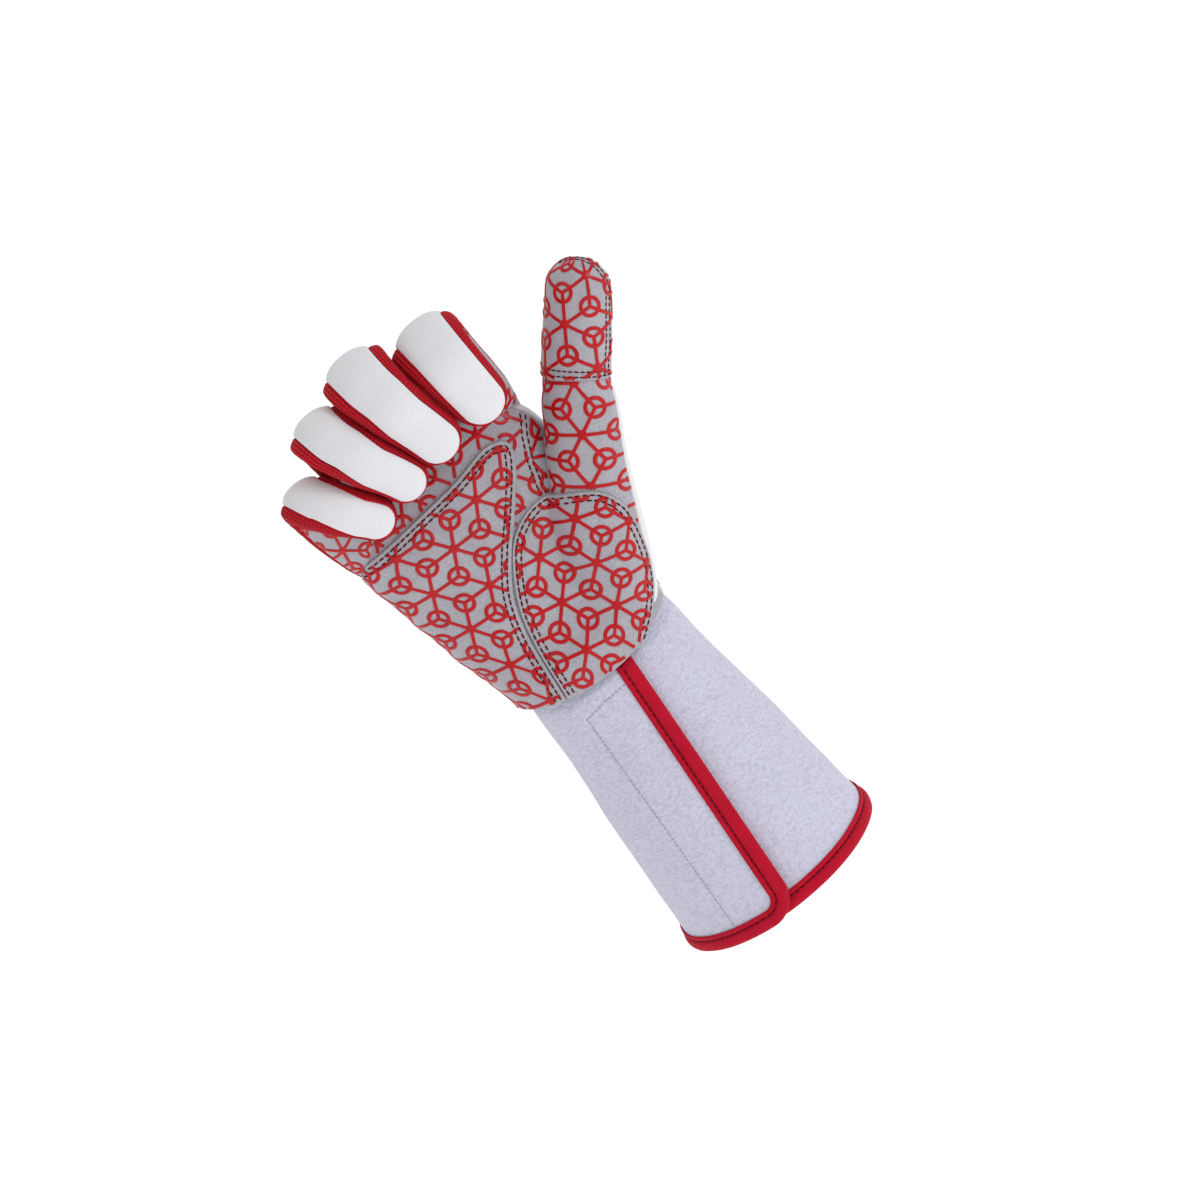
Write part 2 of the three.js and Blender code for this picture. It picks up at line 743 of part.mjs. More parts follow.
function addPiece(name, solid, finish) {
  const { numProp, vertProperties, triVerts } = solid.getMesh();
  const body = new Body();
  const at = (i) => new THREE.Vector3().fromArray(vertProperties, i * numProp);
  for (let i = 0; i < triVerts.length; i += 3) {
    body.triangle(at(triVerts[i]), at(triVerts[i + 1]), at(triVerts[i + 2]));
  }
  const geometry = new THREE.BufferGeometry();
  const positions = body.points.flatMap((p) => [p.x, p.y, p.z]);
  geometry.setAttribute('position', new THREE.Float32BufferAttribute(positions, 3));
  geometry.setIndex(body.triangles.flat());
  geometry.computeVertexNormals();
  const material = new THREE.MeshStandardMaterial({ ...FINISHES[finish], metalness: 0 });
  const mesh = new THREE.Mesh(geometry, material);
  mesh.name = name;
  pieces.push(mesh);
}

// Cuff and what closes it
addPiece('cuff', makeCuff(), 'cuffCloth');
addPiece('cuff_binding', makeBinding(), 'tape');
addPiece('closure_strip', makeClosure(), 'hookTape');

// Forms of the hand, the thumb and the fingers
const handStations = makeStations(HAND_LEG_STEPS, HAND_ARCH_STEPS);
const stallStations = makeStations(STALL_LEG_STEPS, STALL_TIP_STEPS);
const fingers = FINGERS.map((row) => makeFinger(row));
const handForm = (grow) => makeForm(hand, handStations, grow);
const stallForm = (stall, grow) => makeForm(stall, stallStations, grow);
const handClear = handForm(SEAM_GAP);
const fingersClear = fingers.map((finger) => stallForm(finger, SEAM_GAP));

// Hollows of the stalls, which open the hand's shell where they spring from it
let hollows = stallForm(thumb, -HAND_WALL);
for (const finger of fingers) {
  hollows = hollows.add(stallForm(finger, -FINGER_WALL));
}
const handBack = makePanel(hand, handStations, 0, HAND_WALL);
const palmPanel = makePanel(hand, handStations, 1, HAND_WALL);
const hem = makeHemBlock();
addPiece('hand_back', handBack.subtract(hollows).subtract(hem), 'suede');
addPiece('palm_panel', palmPanel.subtract(hollows).subtract(hem), 'grip');

// Patches sewn over the palm and the ball of the thumb
const patchForm = (grow) => handForm(grow).add(stallForm(thumb, grow));
let patchShell = patchForm(LAYER_GAP + PATCH_WALL).subtract(patchForm(LAYER_GAP)).subtract(hem);
for (const room of fingersClear) {
  patchShell = patchShell.subtract(room);
}
const thenarBlock = makeOutlineBlock(THENAR_PATCH_OUTLINE, 0, -THENAR_EDGE_DEPTH);
const thenarRoom = makeOutlineBlock(THENAR_PATCH_OUTLINE, SEAM_GAP, HAND_BACK_DEPTH);
const palmBlock = makeOutlineBlock(PALM_PATCH_OUTLINE, 0, -SEAM_GAP);
addPiece('thenar_patch', patchShell.intersect(thenarBlock), 'grip');
addPiece('palm_patch', patchShell.intersect(palmBlock).subtract(thenarRoom), 'grip');

// Thumb
const capStations = makeStations(CAP_STEPS, STALL_TIP_STEPS, CAP_START);
const capFace = LAYER_GAP + PATCH_WALL;
const capInset = degrees(CAP_SEAM_STEP);
addPiece('thumb_back', makePanel(thumb, stallStations, 0, HAND_WALL).subtract(handClear), 'suede');
addPiece('thumb_front', makePanel(thumb, stallStations, 1, HAND_WALL).subtract(handClear), 'grip');
addPiece('thumb_cap', makePanel(thumb, capStations, 1, PATCH_WALL, capFace, capInset), 'grip');

// Fingers, each kept clear of the one before it
fingers.forEach((finger, i) => {
  const neighbours = i > 0 ? handClear.add(fingersClear[i - 1]) : handClear;
  FINGER_PARTS.forEach(({ part, finish }, index) => {
    const panel = makePanel(finger, stallStations, index, FINGER_WALL);
    addPiece(`${finger.name}_${part}`, panel.subtract(neighbours), finish);
  });
});

const glove = new THREE.Group();
glove.add(...pieces);

export default glove;
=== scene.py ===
import math

import bpy
import numpy as np
from mathutils import Matrix, Vector
from mathutils.bvhtree import BVHTree


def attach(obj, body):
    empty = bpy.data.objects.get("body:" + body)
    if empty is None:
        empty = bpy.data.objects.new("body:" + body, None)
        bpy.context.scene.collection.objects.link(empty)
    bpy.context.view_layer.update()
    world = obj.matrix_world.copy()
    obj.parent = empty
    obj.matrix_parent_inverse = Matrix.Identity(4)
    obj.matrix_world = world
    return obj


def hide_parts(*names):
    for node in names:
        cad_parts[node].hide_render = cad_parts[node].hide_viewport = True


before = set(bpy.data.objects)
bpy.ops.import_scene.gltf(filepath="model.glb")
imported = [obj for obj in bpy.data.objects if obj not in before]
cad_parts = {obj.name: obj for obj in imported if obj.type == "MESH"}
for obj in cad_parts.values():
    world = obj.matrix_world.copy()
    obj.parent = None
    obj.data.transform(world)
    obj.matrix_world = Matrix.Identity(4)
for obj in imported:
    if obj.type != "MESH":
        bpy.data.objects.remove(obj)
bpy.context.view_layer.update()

bl_info = {
    "name": "Fencing glove",
    "version": (1, 0, 0),
    "blender": (4, 5, 0),
    "location": "View3D > Sidebar > Glove",
    "description": "Builds the cloth, leather, print and stitching of a fencing glove",
    "category": "Add Mesh",
}


# Sizes shared with the solids, in millimetres, and shares of them

def table(columns, *rows):
    """Named columns of numbers, a row for each section."""
    return dict(zip(columns.split(), np.array(rows, float).T))


MM = 0.001
SEAM_GAP, LAYER_GAP, WRIST_EASE = 0.3, 0.3, 1.0
CUFF_LENGTH, CUFF_WALL, CUFF_TUCK, LAP_WIDTH = 130.0, 1.6, 10.0, 45.0
MOUTH_WIDTH, MOUTH_DEPTH, WRIST_WIDTH, WRIST_DEPTH = 92.0, 97.0, 68.4, 50.0
FLAP_EDGE_MOUTH, FLAP_EDGE_WRIST, FLAP_CORNER = -3.0, 9.0, 11.0
LAP_HOLD, LAP_MEET = 0.13, 0.5
BINDING_WIDTH, BINDING_WALL = 6.5, 0.7
CLOSURE_WIDTH, CLOSURE_LENGTH, CLOSURE_THICKNESS = 16.0, 84.0, 2.0
PALM_LENGTH, PALM_BREADTH, HAND_BACK_DEPTH, HAND_PALM_DEPTH = 121.0, 95.0, 17.0, 15.5
PALM_SHIFT, KNUCKLE_ARCH, HAND_WALL, PATCH_WALL, THENAR_EDGE_DEPTH = -4.5, 36.0, 1.5, 1.2, 6.0
HEM_RISE, HEM_REACH = 5.5, 1.2
FINGER_REACH, FINGER_WIDTH, FINGER_WALL = 40.0, 28.6, 1.3
FINGER_BACK_DEPTH, FINGER_PALM_DEPTH = 10.5, 8.2
KNUCKLE_RADIUS, BEND_RADIUS, FINGER_START_Y, ROOT_INSET, ROOT_RUN = 25.0, 9.5, 1.0, 18.0, 4.5
THUMB_WIDTH, THUMB_DEPTH, THUMB_ROLL, THUMB_TIP, CAP_START = 26.0, 24.0, 28.0, 12.0, 0.714
BACK_EDGE, GUSSET_EDGE, PROXIMAL_TILT, TIP_TILT = 53.0, 118.0, 24.0, 190.0
KNIT_SWING = {"index": (-20, 0), "middle": (0, 20), "ring": (0, 25), "little": (10, 0)}
KNIT_SWELL = {"index": (0.8, 2.3), "middle": (1.9, 1.9), "ring": (1.3, 2.2), "little": (1.7, 1.5)}
PALM_SEAM_THUMB_SIDE, PALM_SEAM_OUTER_SIDE = 105.0, 84.0
THUMB_SEAM_BASE, THUMB_SEAM_TIP, CAP_SEAM_STEP = 108.0, 84.0, 8.0
HAND_POWER, FINGER_POWER = 0.85, 0.92
# From an edge to its first row of stitches, and the size of the stitches there.
PATCH_ROW, CAP_ROW, HEM_ROW = 1.25, 1.6, 2.4
CAP_STITCH, HEM_STITCH, CUFF_STITCH = 0.85, 0.75, 0.62
SHARP_ANGLE = 58.0

CUFF_SECTIONS = table(
    "along width depth",
    (0, 1, 1), (0.22, 0.8, 0.82), (0.46, 0.58, 0.6), (0.7, 0.3, 0.33), (0.86, 0.2, 0.12),
    (0.9, 0.16, 0.08), (0.92, 0.13, 0), (0.94, 0.07, 0), (0.965, 0, 0), (1, 0, 0),
)
HAND_SECTIONS = table(
    "along width depth",
    (0, 0, 0), (0.14, 0.07, 0), (0.25, 0.22, 0.3), (0.38, 0.39, 0.62), (0.64, 0.64, 0.88),
    (0.82, 0.82, 0.97), (1, 1, 1),
)
FINGERS = {
    "index": dict(root=0.72, bend=0.67, tip=0.695, knuckle=0.926, first=1.05,
                  curl=133, second=0.075, third=0.345, width=1.02),
    "middle": dict(root=0.075, bend=0.035, tip=0.2, knuckle=0.99, first=1.06,
                   curl=148, second=0.21, third=0.445, width=0.95),
    "ring": dict(root=-0.455, bend=-0.495, tip=-0.21, knuckle=0.926, first=1.03,
                 curl=145, second=0.175, third=0.383, width=0.84),
    "little": dict(root=-0.8, bend=-0.945, tip=-0.61, knuckle=0.8, first=0.93,
                   curl=130, second=0.04, third=0.152, width=0.8),
}
FINGER_SWELL = table(
    "along width depth",
    (0, 0.62, 0.7), (0.25, 0.95, 0.95), (0.55, 1, 1), (0.8, 0.9, 0.97), (1, 0.83, 0.9),
)
THUMB_SECTIONS = table(
    "out front up wide deep",
    (0.38, -0.47, 0.066, 1.1, 1.1), (0.52, -0.59, 0.2, 1.3, 1.28),
    (0.69, -0.71, 0.362, 1.38, 1.33), (0.985, -0.76, 0.583, 1.25, 1.2),
    (1.18, -0.76, 0.711, 1.19, 1.1), (1.36, -0.74, 0.822, 1.05, 1.02),
    (1.63, -0.71, 0.946, 0.98, 0.96), (1.83, -0.71, 1.042, 0.93, 0.93),
)
PALM_PATCH_OUTLINE = table(
    "out up",
    (-1.6, 0), (-1.6, 0.75), (-1.07, 0.764), (-0.5, 0.79), (0, 0.808), (0.34, 0.83),
    (0.51, 0.81), (0.54, 0.772), (0.43, 0.704), (0.17, 0.59), (-0.02, 0.512),
    (-0.22, 0.41), (-0.33, 0.312), (-0.4, 0.195), (-0.47, 0),
)
THENAR_PATCH_OUTLINE = table(
    "out up",
    (-0.44, 0), (-0.38, 0.18), (-0.27, 0.338), (-0.08, 0.468), (0.11, 0.545), (0.36, 0.58),
    (0.61, 0.563), (0.86, 0.51), (0.96, 0.43), (0.96, 0.352), (0.88, 0.23), (0.76, 0.132),
    (0.63, 0.072), (0.5, 0.03), (0.38, 0),
)

HALF_PALM = PALM_BREADTH / 2
HAND_START = CUFF_LENGTH - CUFF_TUCK
LAP_STEP = CUFF_WALL + 2 * LAYER_GAP + CLOSURE_THICKNESS
X_AXIS, Y_AXIS, Z_AXIS = np.eye(3)


# Numbers

def read(rows, column, along):
    """Smooth reading of a column at shares of the length, with no overshoot."""
    at, values = rows["along"], rows[column]
    rise = np.diff(values) / np.diff(at)
    before = np.concatenate(([rise[0]], rise))
    after = np.concatenate((rise, [rise[-1]]))
    total = before + after
    slope = np.where(before * after > 0, 2 * before * after / np.where(total, total, 1), 0)
    i = np.clip(np.searchsorted(at, along, side="left") - 1, 0, len(at) - 2)
    span = at[i + 1] - at[i]
    t = np.clip((along - at[i]) / span, 0, 1)
    start = 2 * t**3 - 3 * t**2 + 1
    bends = (t**3 - 2 * t**2 + t) * slope[i] + (t**3 - t**2) * slope[i + 1]
    return start * values[i] + (1 - start) * values[i + 1] + bends * span


def smoothstep(value, low, high):
    """Share from 0 to 1 as a value goes from low to high, eased at both ends."""
    t = np.clip((value - low) / (high - low), 0, 1)
    return t * t * (3 - 2 * t)


def unit(vectors):
    """The vectors at length one."""
    return vectors / np.linalg.norm(vectors, axis=-1, keepdims=True)


def ripple(points, size, seed):
    """Smooth random values from -1 to 1 over points, with swells of about a size."""
    place = points / size + seed * 7.31
    cell = np.floor(place).astype(np.int64)
    part = place - cell
    part = part * part * (3 - 2 * part)
    total = np.zeros(points.shape[:-1])
    for corner in np.ndindex(2, 2, 2):
        at = cell + corner
        mixed = (at[..., 0] * 73856093) ^ (at[..., 1] * 19349663) ^ (at[..., 2] * 83492791)
        mixed = (mixed * 2654435761 + seed * 97) & 0xFFFFFFFF
        mixed = ((mixed ^ (mixed >> 15)) * 2246822519) & 0xFFFFFFFF
        value = ((mixed ^ (mixed >> 13)) & 0xFFFF) / 32767.5 - 1
        weight = np.prod(np.where(np.array(corner) == 1, part, 1 - part), axis=-1)
        total += weight * value
    return total


def rolled(distance, radius):
    """How far a face drops towards an edge that is rolled under."""
    left = np.clip(1 - distance / radius, 0, 1)
    return radius * (1 - np.sqrt(1 - left**2))


def edge_shares(length, step, first, last):
    """Shares of a width, closer together towards its rolled edges."""
    close = np.array([0, 0.12, 0.35, 0.7, 1.2]) / length
    begin = close if first else np.array([0.0])
    end = 1 - close[::-1] if last else np.array([1.0])
    count = max(2, round(length * (end[0] - begin[-1]) / step))
    middle = np.linspace(begin[-1], end[0], count + 1)[1:-1]
    return np.concatenate((begin, middle, end))


# Stalls: round ended tubes, as arrays of their frames

class Stall:
    """A tube with a round end: where its middle runs, which way it faces, how big it is."""

    SAMPLES = 501

    def __init__(self, sample, seams, power, plan_power, seam_radius):
        rows = [sample(t) for t in np.linspace(0, 1, self.SAMPLES)]
        self.rows = {key: np.array([row[key] for row in rows]) for key in rows[0]}
        steps = np.linalg.norm(np.diff(self.rows["centre"], axis=0), axis=1)
        self.run = np.concatenate(([0], np.cumsum(steps)))
        self.seams, self.power, self.plan_power = seams, power, plan_power
        self.seam_radius = seam_radius

    @property
    def length(self):
        return self.run[-1]

    def value(self, key, along):
        rows, at = self.rows[key], np.linspace(0, 1, self.SAMPLES)
        if rows.ndim == 1:
            return np.interp(along, at, rows)
        picked = np.stack([np.interp(along, at, rows[:, i]) for i in range(3)], axis=-1)
        return picked if key == "centre" else unit(picked)

    def point(self, along, turn, polar, grow):
        """Points at a share of the length, an angle round the end and one round the tube."""
        def power(value, share):
            return np.sign(value) * np.abs(value) ** share

        turn = turn + np.zeros_like(polar)
        half, tip = self.value("half", along) + grow, self.value("tip", along) + grow
        outward, upward = power(np.sin(polar), self.power), power(np.cos(polar), self.power)
        sideways = power(np.cos(turn), self.plan_power) * half * outward
        ahead = power(np.sin(turn), self.plan_power) * tip * outward
        ahead = np.where(np.abs(np.sin(turn)) < 1e-6, 0, ahead)
        back, palm = self.value("back", along) + grow, self.value("palm", along) + grow
        depth = np.where(upward > 0, back, palm) * upward
        centre, side = self.value("centre", along), self.value("side", along)
        tangent, normal = self.value("tangent", along), self.value("normal", along)
        return (centre + side * sideways[..., None] + tangent * ahead[..., None]
                + normal * depth[..., None])

    def stations(self, step, start=0.0):
        """Places up one side, round the end and down the other, with the length to each."""
        begin = np.interp(start, np.linspace(0, 1, self.SAMPLES), self.run)
        legs = max(4, round((self.length - begin) / step))
        reach = self.value("tip", 1.0)
        tips = max(8, round(math.pi * (reach + self.value("half", 1.0)) / 2 / step))
        leg = np.interp(np.linspace(begin, self.length, legs + 1), self.run,
                        np.linspace(0, 1, self.SAMPLES))
        angles = np.linspace(0, math.pi, tips + 1)[1:-1]
        along = np.concatenate((leg, np.ones(tips - 1), leg[::-1]))
        turn = np.concatenate((np.zeros(legs + 1), angles, np.full(legs + 1, math.pi)))
        path = np.interp(leg, np.linspace(0, 1, self.SAMPLES), self.run)
        path = np.concatenate((path, self.length + reach * np.sin(angles), path[::-1]))
        return along, turn, path


def hand_frame(along):
    """Frame of the hand at a share of its length."""
    width, depth = (float(read(HAND_SECTIONS, key, along)) for key in ("width", "depth"))
    ease = WRIST_EASE + HAND_WALL
    side, deep = WRIST_WIDTH / 2 + ease, WRIST_DEPTH / 2 + ease
    return {
        "centre": [PALM_SHIFT * width, 0, HAND_START + along * (PALM_LENGTH - KNUCKLE_ARCH)],
        "tangent": Z_AXIS, "side": X_AXIS, "normal": Y_AXIS,
        "half": side + (HALF_PALM - side) * width,
        "back": deep + (HAND_BACK_DEPTH - deep) * depth,
        "palm": deep + (HAND_PALM_DEPTH - deep) * depth,
        "tip": KNUCKLE_ARCH,
    }


def palm_seam(along, turn):
    """Angle of the seam between the hand's back and its palm."""
    middle = (PALM_SEAM_THUMB_SIDE + PALM_SEAM_OUTER_SIDE) / 2
    swing = (PALM_SEAM_THUMB_SIDE - PALM_SEAM_OUTER_SIDE) / 2
    return np.radians(middle + swing * np.cos(turn))


def thumb_seam(along, turn):
    """Angle of the seam between the thumb's back and its front."""
    return np.radians(THUMB_SEAM_BASE + (THUMB_SEAM_TIP - THUMB_SEAM_BASE) * along)


def fixed_seam(angle):
    """A seam at one angle all the way."""
    return lambda along, turn: np.full_like(along, math.radians(angle))


def by_side(pair, turn):
    """Value between the one for a finger's thumb side and the one for its outer side."""
    share = 0.5 + 0.5 * np.cos(turn)
    return pair[0] * share + pair[1] * (1 - share)


def knit_seam(name):
    """End of a finger's knit, which is drawn over or back a little on each side."""
    return lambda along, turn: np.radians(GUSSET_EDGE + by_side(KNIT_SWING[name], turn))


def finger_frame(row):
    """Frames of a finger along straight runs and round bends in the plane of its curl."""
    curl = row["curl"]
    runs = [
        (ROOT_RUN, 0, 0),
        (KNUCKLE_RADIUS * math.radians(PROXIMAL_TILT), 0, PROXIMAL_TILT),
        (FINGER_REACH * row["first"], PROXIMAL_TILT, PROXIMAL_TILT),
        (BEND_RADIUS * math.radians(curl - PROXIMAL_TILT), PROXIMAL_TILT, curl),
        (FINGER_REACH * row["second"], curl, curl),
        (BEND_RADIUS * math.radians(TIP_TILT - curl), curl, TIP_TILT),
        (FINGER_REACH * row["third"], TIP_TILT, TIP_TILT),
    ]
    total = sum(run[0] for run in runs)
    bend_at = (runs[0][0] + runs[1][0] + runs[2][0] + runs[3][0] / 2) / total
    across = table("along x", (0, row["root"]), (bend_at, row["bend"]), (1, row["tip"]))

    def spine(along):
        left, tilt = along * total, 0.0
        y, z = FINGER_START_Y, HAND_START + PALM_LENGTH * row["knuckle"] - ROOT_INSET
        for length, start, stop in runs:
            part = min(left, length)
            begin, end = math.radians(start), math.radians(stop)
            tilt = begin + (end - begin) * part / length
            if start == stop:
                y, z = y - part * math.sin(begin), z + part * math.cos(begin)
            else:
                radius = length / (end - begin)
                y += radius * (math.cos(tilt) - math.cos(begin))
                z += radius * (math.sin(tilt) - math.sin(begin))
            left -= part
            if left <= 0:
                break
        x = PALM_SHIFT + HALF_PALM * float(read(across, "x", along))
        return np.array([x, y, z]), tilt

    def frame_at(along):
        centre, tilt = spine(along)
        low, high = max(along - 0.01, 0), min(along + 0.01, 1)
        lean = (spine(high)[0][0] - spine(low)[0][0]) / ((high - low) * total)
        tangent = unit(np.array([lean, -math.sin(tilt), math.cos(tilt)]))
        side = unit(X_AXIS - tangent * tangent[0])
        depth = float(read(FINGER_SWELL, "depth", along)) * (1 + row["width"]) / 2
        half = FINGER_WIDTH / 2 * row["width"] * float(read(FINGER_SWELL, "width", along))
        return {
            "centre": centre, "tangent": tangent, "side": side,
            "normal": np.cross(tangent, side), "half": half, "tip": half,
            "back": FINGER_BACK_DEPTH * depth, "palm": FINGER_PALM_DEPTH * depth,
        }

    return frame_at, bend_at


def thumb_frame():
    """Frames of the thumb along a smooth curve through its sections."""
    places = np.stack((
        HALF_PALM * THUMB_SECTIONS["out"],
        HAND_BACK_DEPTH * THUMB_SECTIONS["front"],
        HAND_START + PALM_LENGTH * THUMB_SECTIONS["up"],
    ), axis=-1)
    last = len(places) - 1
    padded = np.vstack((2 * places[0] - places[1], places, 2 * places[-1] - places[-2]))
    rows = dict(THUMB_SECTIONS, along=np.linspace(0, 1, last + 1))
    roll = math.radians(THUMB_ROLL)

    def spine(along):
        i = min(int(along * last), last - 1)
        t = along * last - i
        p = padded[i:i + 4]
        d = np.sqrt(np.linalg.norm(np.diff(p, axis=0), axis=1))
        rise = np.diff(p, axis=0) / d[:, None]
        start = rise[0] - (p[2] - p[0]) / (d[0] + d[1]) + rise[1]
        stop = rise[1] - (p[3] - p[1]) / (d[1] + d[2]) + rise[2]
        start, stop = start * d[1], stop * d[1]
        return (p[1] + start * t + (3 * (p[2] - p[1]) - 2 * start - stop) * t**2
                + (2 * (p[1] - p[2]) + start + stop) * t**3)

    def frame_at(along):
        low, high = max(along - 1e-4, 0), min(along + 1e-4, 1)
        tangent = unit(spine(high) - spine(low))
        normal = np.array([math.sin(roll), math.cos(roll), 0])
        normal = unit(normal - tangent * normal.dot(tangent))
        deep = THUMB_DEPTH / 2 * float(read(rows, "deep", along))
        return {
            "centre": spine(along), "tangent": tangent, "normal": normal,
            "side": np.cross(normal, tangent),
            "half": THUMB_WIDTH / 2 * float(read(rows, "wide", along)),
            "back": deep, "palm": deep, "tip": THUMB_TIP,
        }

    return frame_at


HAND = Stall(hand_frame, [fixed_seam(0), palm_seam, fixed_seam(180)],
             HAND_POWER, HAND_POWER, HAND_BACK_DEPTH)
THUMB = Stall(thumb_frame(), [fixed_seam(0), thumb_seam, fixed_seam(180)],
              FINGER_POWER, 1, THUMB_DEPTH / 2)
STALLS, BENDS = {}, {}
for finger_name, finger_row in FINGERS.items():
    make_frame, BENDS[finger_name] = finger_frame(finger_row)
    STALLS[finger_name] = Stall(
        make_frame,
        [fixed_seam(0), fixed_seam(BACK_EDGE), knit_seam(finger_name), fixed_seam(180)],
        FINGER_POWER, 1, FINGER_BACK_DEPTH)


# Meshes

def build_mesh(name, points, faces, uvs=None):
    """Welded mesh in metres from points in millimetres, its faces turned outwards."""
    keys = np.round(points / 0.0005).astype(np.int64)
    _, index, inverse = np.unique(keys, axis=0, return_index=True, return_inverse=True)
    inverse = inverse.reshape(-1)
    kept, corners = [], []
    for face in faces:
        ids, loops = [], []
        for corner in face:
            vertex = inverse[corner]
            if vertex not in ids:
                ids.append(int(vertex))
                loops.append(corner)
        if len(ids) > 2:
            kept.append(ids)
            corners.append(loops)
    place = points[index] * MM
    a = place[[ids[0] for ids in kept]]
    b = place[[ids[1] for ids in kept]]
    c = place[[ids[2] for ids in kept]]
    d = place[[ids[-1] for ids in kept]]
    volume = np.sum(a * np.cross(b, c)) + np.sum(a * np.cross(c, d))
    if volume < 0:
        kept = [ids[::-1] for ids in kept]
        corners = [loops[::-1] for loops in corners]
    mesh = bpy.data.meshes.new(name)
    mesh.from_pydata(place.tolist(), [], kept)
    if uvs is not None:
        layer = mesh.uv_layers.new(name="UVMap")
        flat = uvs[np.concatenate([np.array(loops) for loops in corners])]
        layer.data.foreach_set("uv", flat.astype(np.float32).ravel())
    mesh.update()
    return mesh


def grid_faces(rows, columns, offset=0, flip=False, wrap=False):
    """Index quads of a grid of points, the last column joined to the first on request."""
    i, j = np.meshgrid(np.arange(rows - 1), np.arange(columns - (0 if wrap else 1)),
                       indexing="ij")
    i, j = i.ravel(), j.ravel()
    k = (j + 1) % columns
    quads = np.stack((i * columns + j, (i + 1) * columns + j,
                      (i + 1) * columns + k, i * columns + k), axis=-1) + offset
    return (quads[:, ::-1] if flip else quads).tolist()


def between(name, outer, inner, uv, first=True, last=True, ends=True):
    """Closed mesh between two grids of points, with walls round its open edges."""
    rows, columns = outer.shape[:2]
    count = rows * columns
    faces = grid_faces(rows, columns) + grid_faces(rows, columns, count, flip=True)
    for i in range(rows - 1):
        a, b = i * columns, (i + 1) * columns
        if first:
            faces.append([a, a + count, b + count, b])
        if last:
            c, d = a + columns - 1, b + columns - 1
            faces.append([c, d, d + count, c + count])
    if ends:
        base = (rows - 1) * columns
        for j in range(columns - 1):
            faces.append([j, j + 1, j + 1 + count, j + count])
            faces.append([base + j, base + j + count, base + j + 1 + count, base + j + 1])
    points = np.concatenate((outer.reshape(-1, 3), inner.reshape(-1, 3)))
    flat = uv.reshape(-1, 2)
    return build_mesh(name, points, faces, np.concatenate((flat, flat)))


def panel(name, stall, index, wall, relief=None, face=0.0, start=0.0, inset=0.0,
          step=1.2, roll=0.9, rim_ends=False):
    """Sewn panel of a stall between two seams, with rolled edges and a relief."""
    along, turn, path = stall.stations(step, start)
    gap = SEAM_GAP / 2 / stall.seam_radius
    first, last = index > 0, index < len(stall.seams) - 2
    low = stall.seams[index](along, turn) + (gap + inset if first else 0)
    high = stall.seams[index + 1](along, turn) - (gap if last else 0)
    width = float(np.mean(high - low)) * (stall.seam_radius + stall.value("half", 0.6)) / 2
    shares = edge_shares(width, step, first, last)
    polar = low[:, None] + (high - low)[:, None] * shares
    rim = np.full(polar.shape, 99.0)
    if first:
        rim = np.minimum(rim, shares * width)
    if last:
        rim = np.minimum(rim, (1 - shares) * width)
    if rim_ends:
        rim = np.minimum(rim, (path - path[0])[:, None])
    along, turn = along[:, None], turn[:, None]
    grow = face - rolled(rim, roll)
    base = stall.point(along, turn, polar, grow)
    if relief is not None:
        grow = grow + relief(base, rim, along, turn, polar)
    outer = stall.point(along, turn, polar, grow)
    inner = stall.point(along, turn, polar, np.full(polar.shape, face - wall))
    across = polar * width / np.maximum(high - low, 1e-6)[:, None]
    uv = np.stack((across * np.where(np.cos(turn) < 0, -1, 1),
                   path[:, None] + 0 * across), axis=-1) / 100
    return between(name, outer, inner, uv, first, last)


def stall_form(name, stall, grow, step=2.5):
    """Whole closed form of a stall, for cutting and for resting things on."""
    along, turn, _ = stall.stations(step)
    polar = np.linspace(0, math.pi, max(8, round(math.pi * stall.seam_radius / step)))
    count = len(polar)
    points = stall.point(along[:, None], turn[:, None],
                         polar[None, :] + 0 * along[:, None], grow)
    rows = len(points)
    faces = grid_faces(rows, count)
    centre = stall.value("centre", 0.0)
    points = np.concatenate((points.reshape(-1, 3), centre[None]))
    hub, base = rows * count, (rows - 1) * count
    for k in range(count - 1):
        faces.append([hub, k, k + 1])
        faces.append([hub, base + k + 1, base + k])
    return build_mesh(name, points, faces)


def smooth_outline(rows, grow=0.0, steps=6, low=HAND_START - CUFF_TUCK):
    """Outline of a patch on the palm as X and Z, drawn smoothly and moved outwards."""
    p = np.stack((HALF_PALM * rows["out"], HAND_START + PALM_LENGTH * rows["up"]), axis=-1)
    last = len(p) - 1
    drawn = []
    for i in range(last):
        before, after = p[max(i - 1, 0)], p[min(i + 2, last)]
        start, stop = (p[i + 1] - before) / 2, (after - p[i]) / 2
        for t in np.arange(steps) / steps:
            drawn.append((2 * p[i] - 2 * p[i + 1] + start + stop) * t**3
                         + (3 * (p[i + 1] - p[i]) - 2 * start - stop) * t**2
                         + start * t + p[i])
    drawn = np.array(drawn + [p[last]])
    if grow:
        along = unit(np.gradient(drawn, axis=0))
        drawn = drawn + grow * np.stack((-along[:, 1], along[:, 0]), axis=-1)
    return drawn if low is None else np.vstack((
        drawn, [[drawn[-1, 0], low], [drawn[0, 0], low]]))


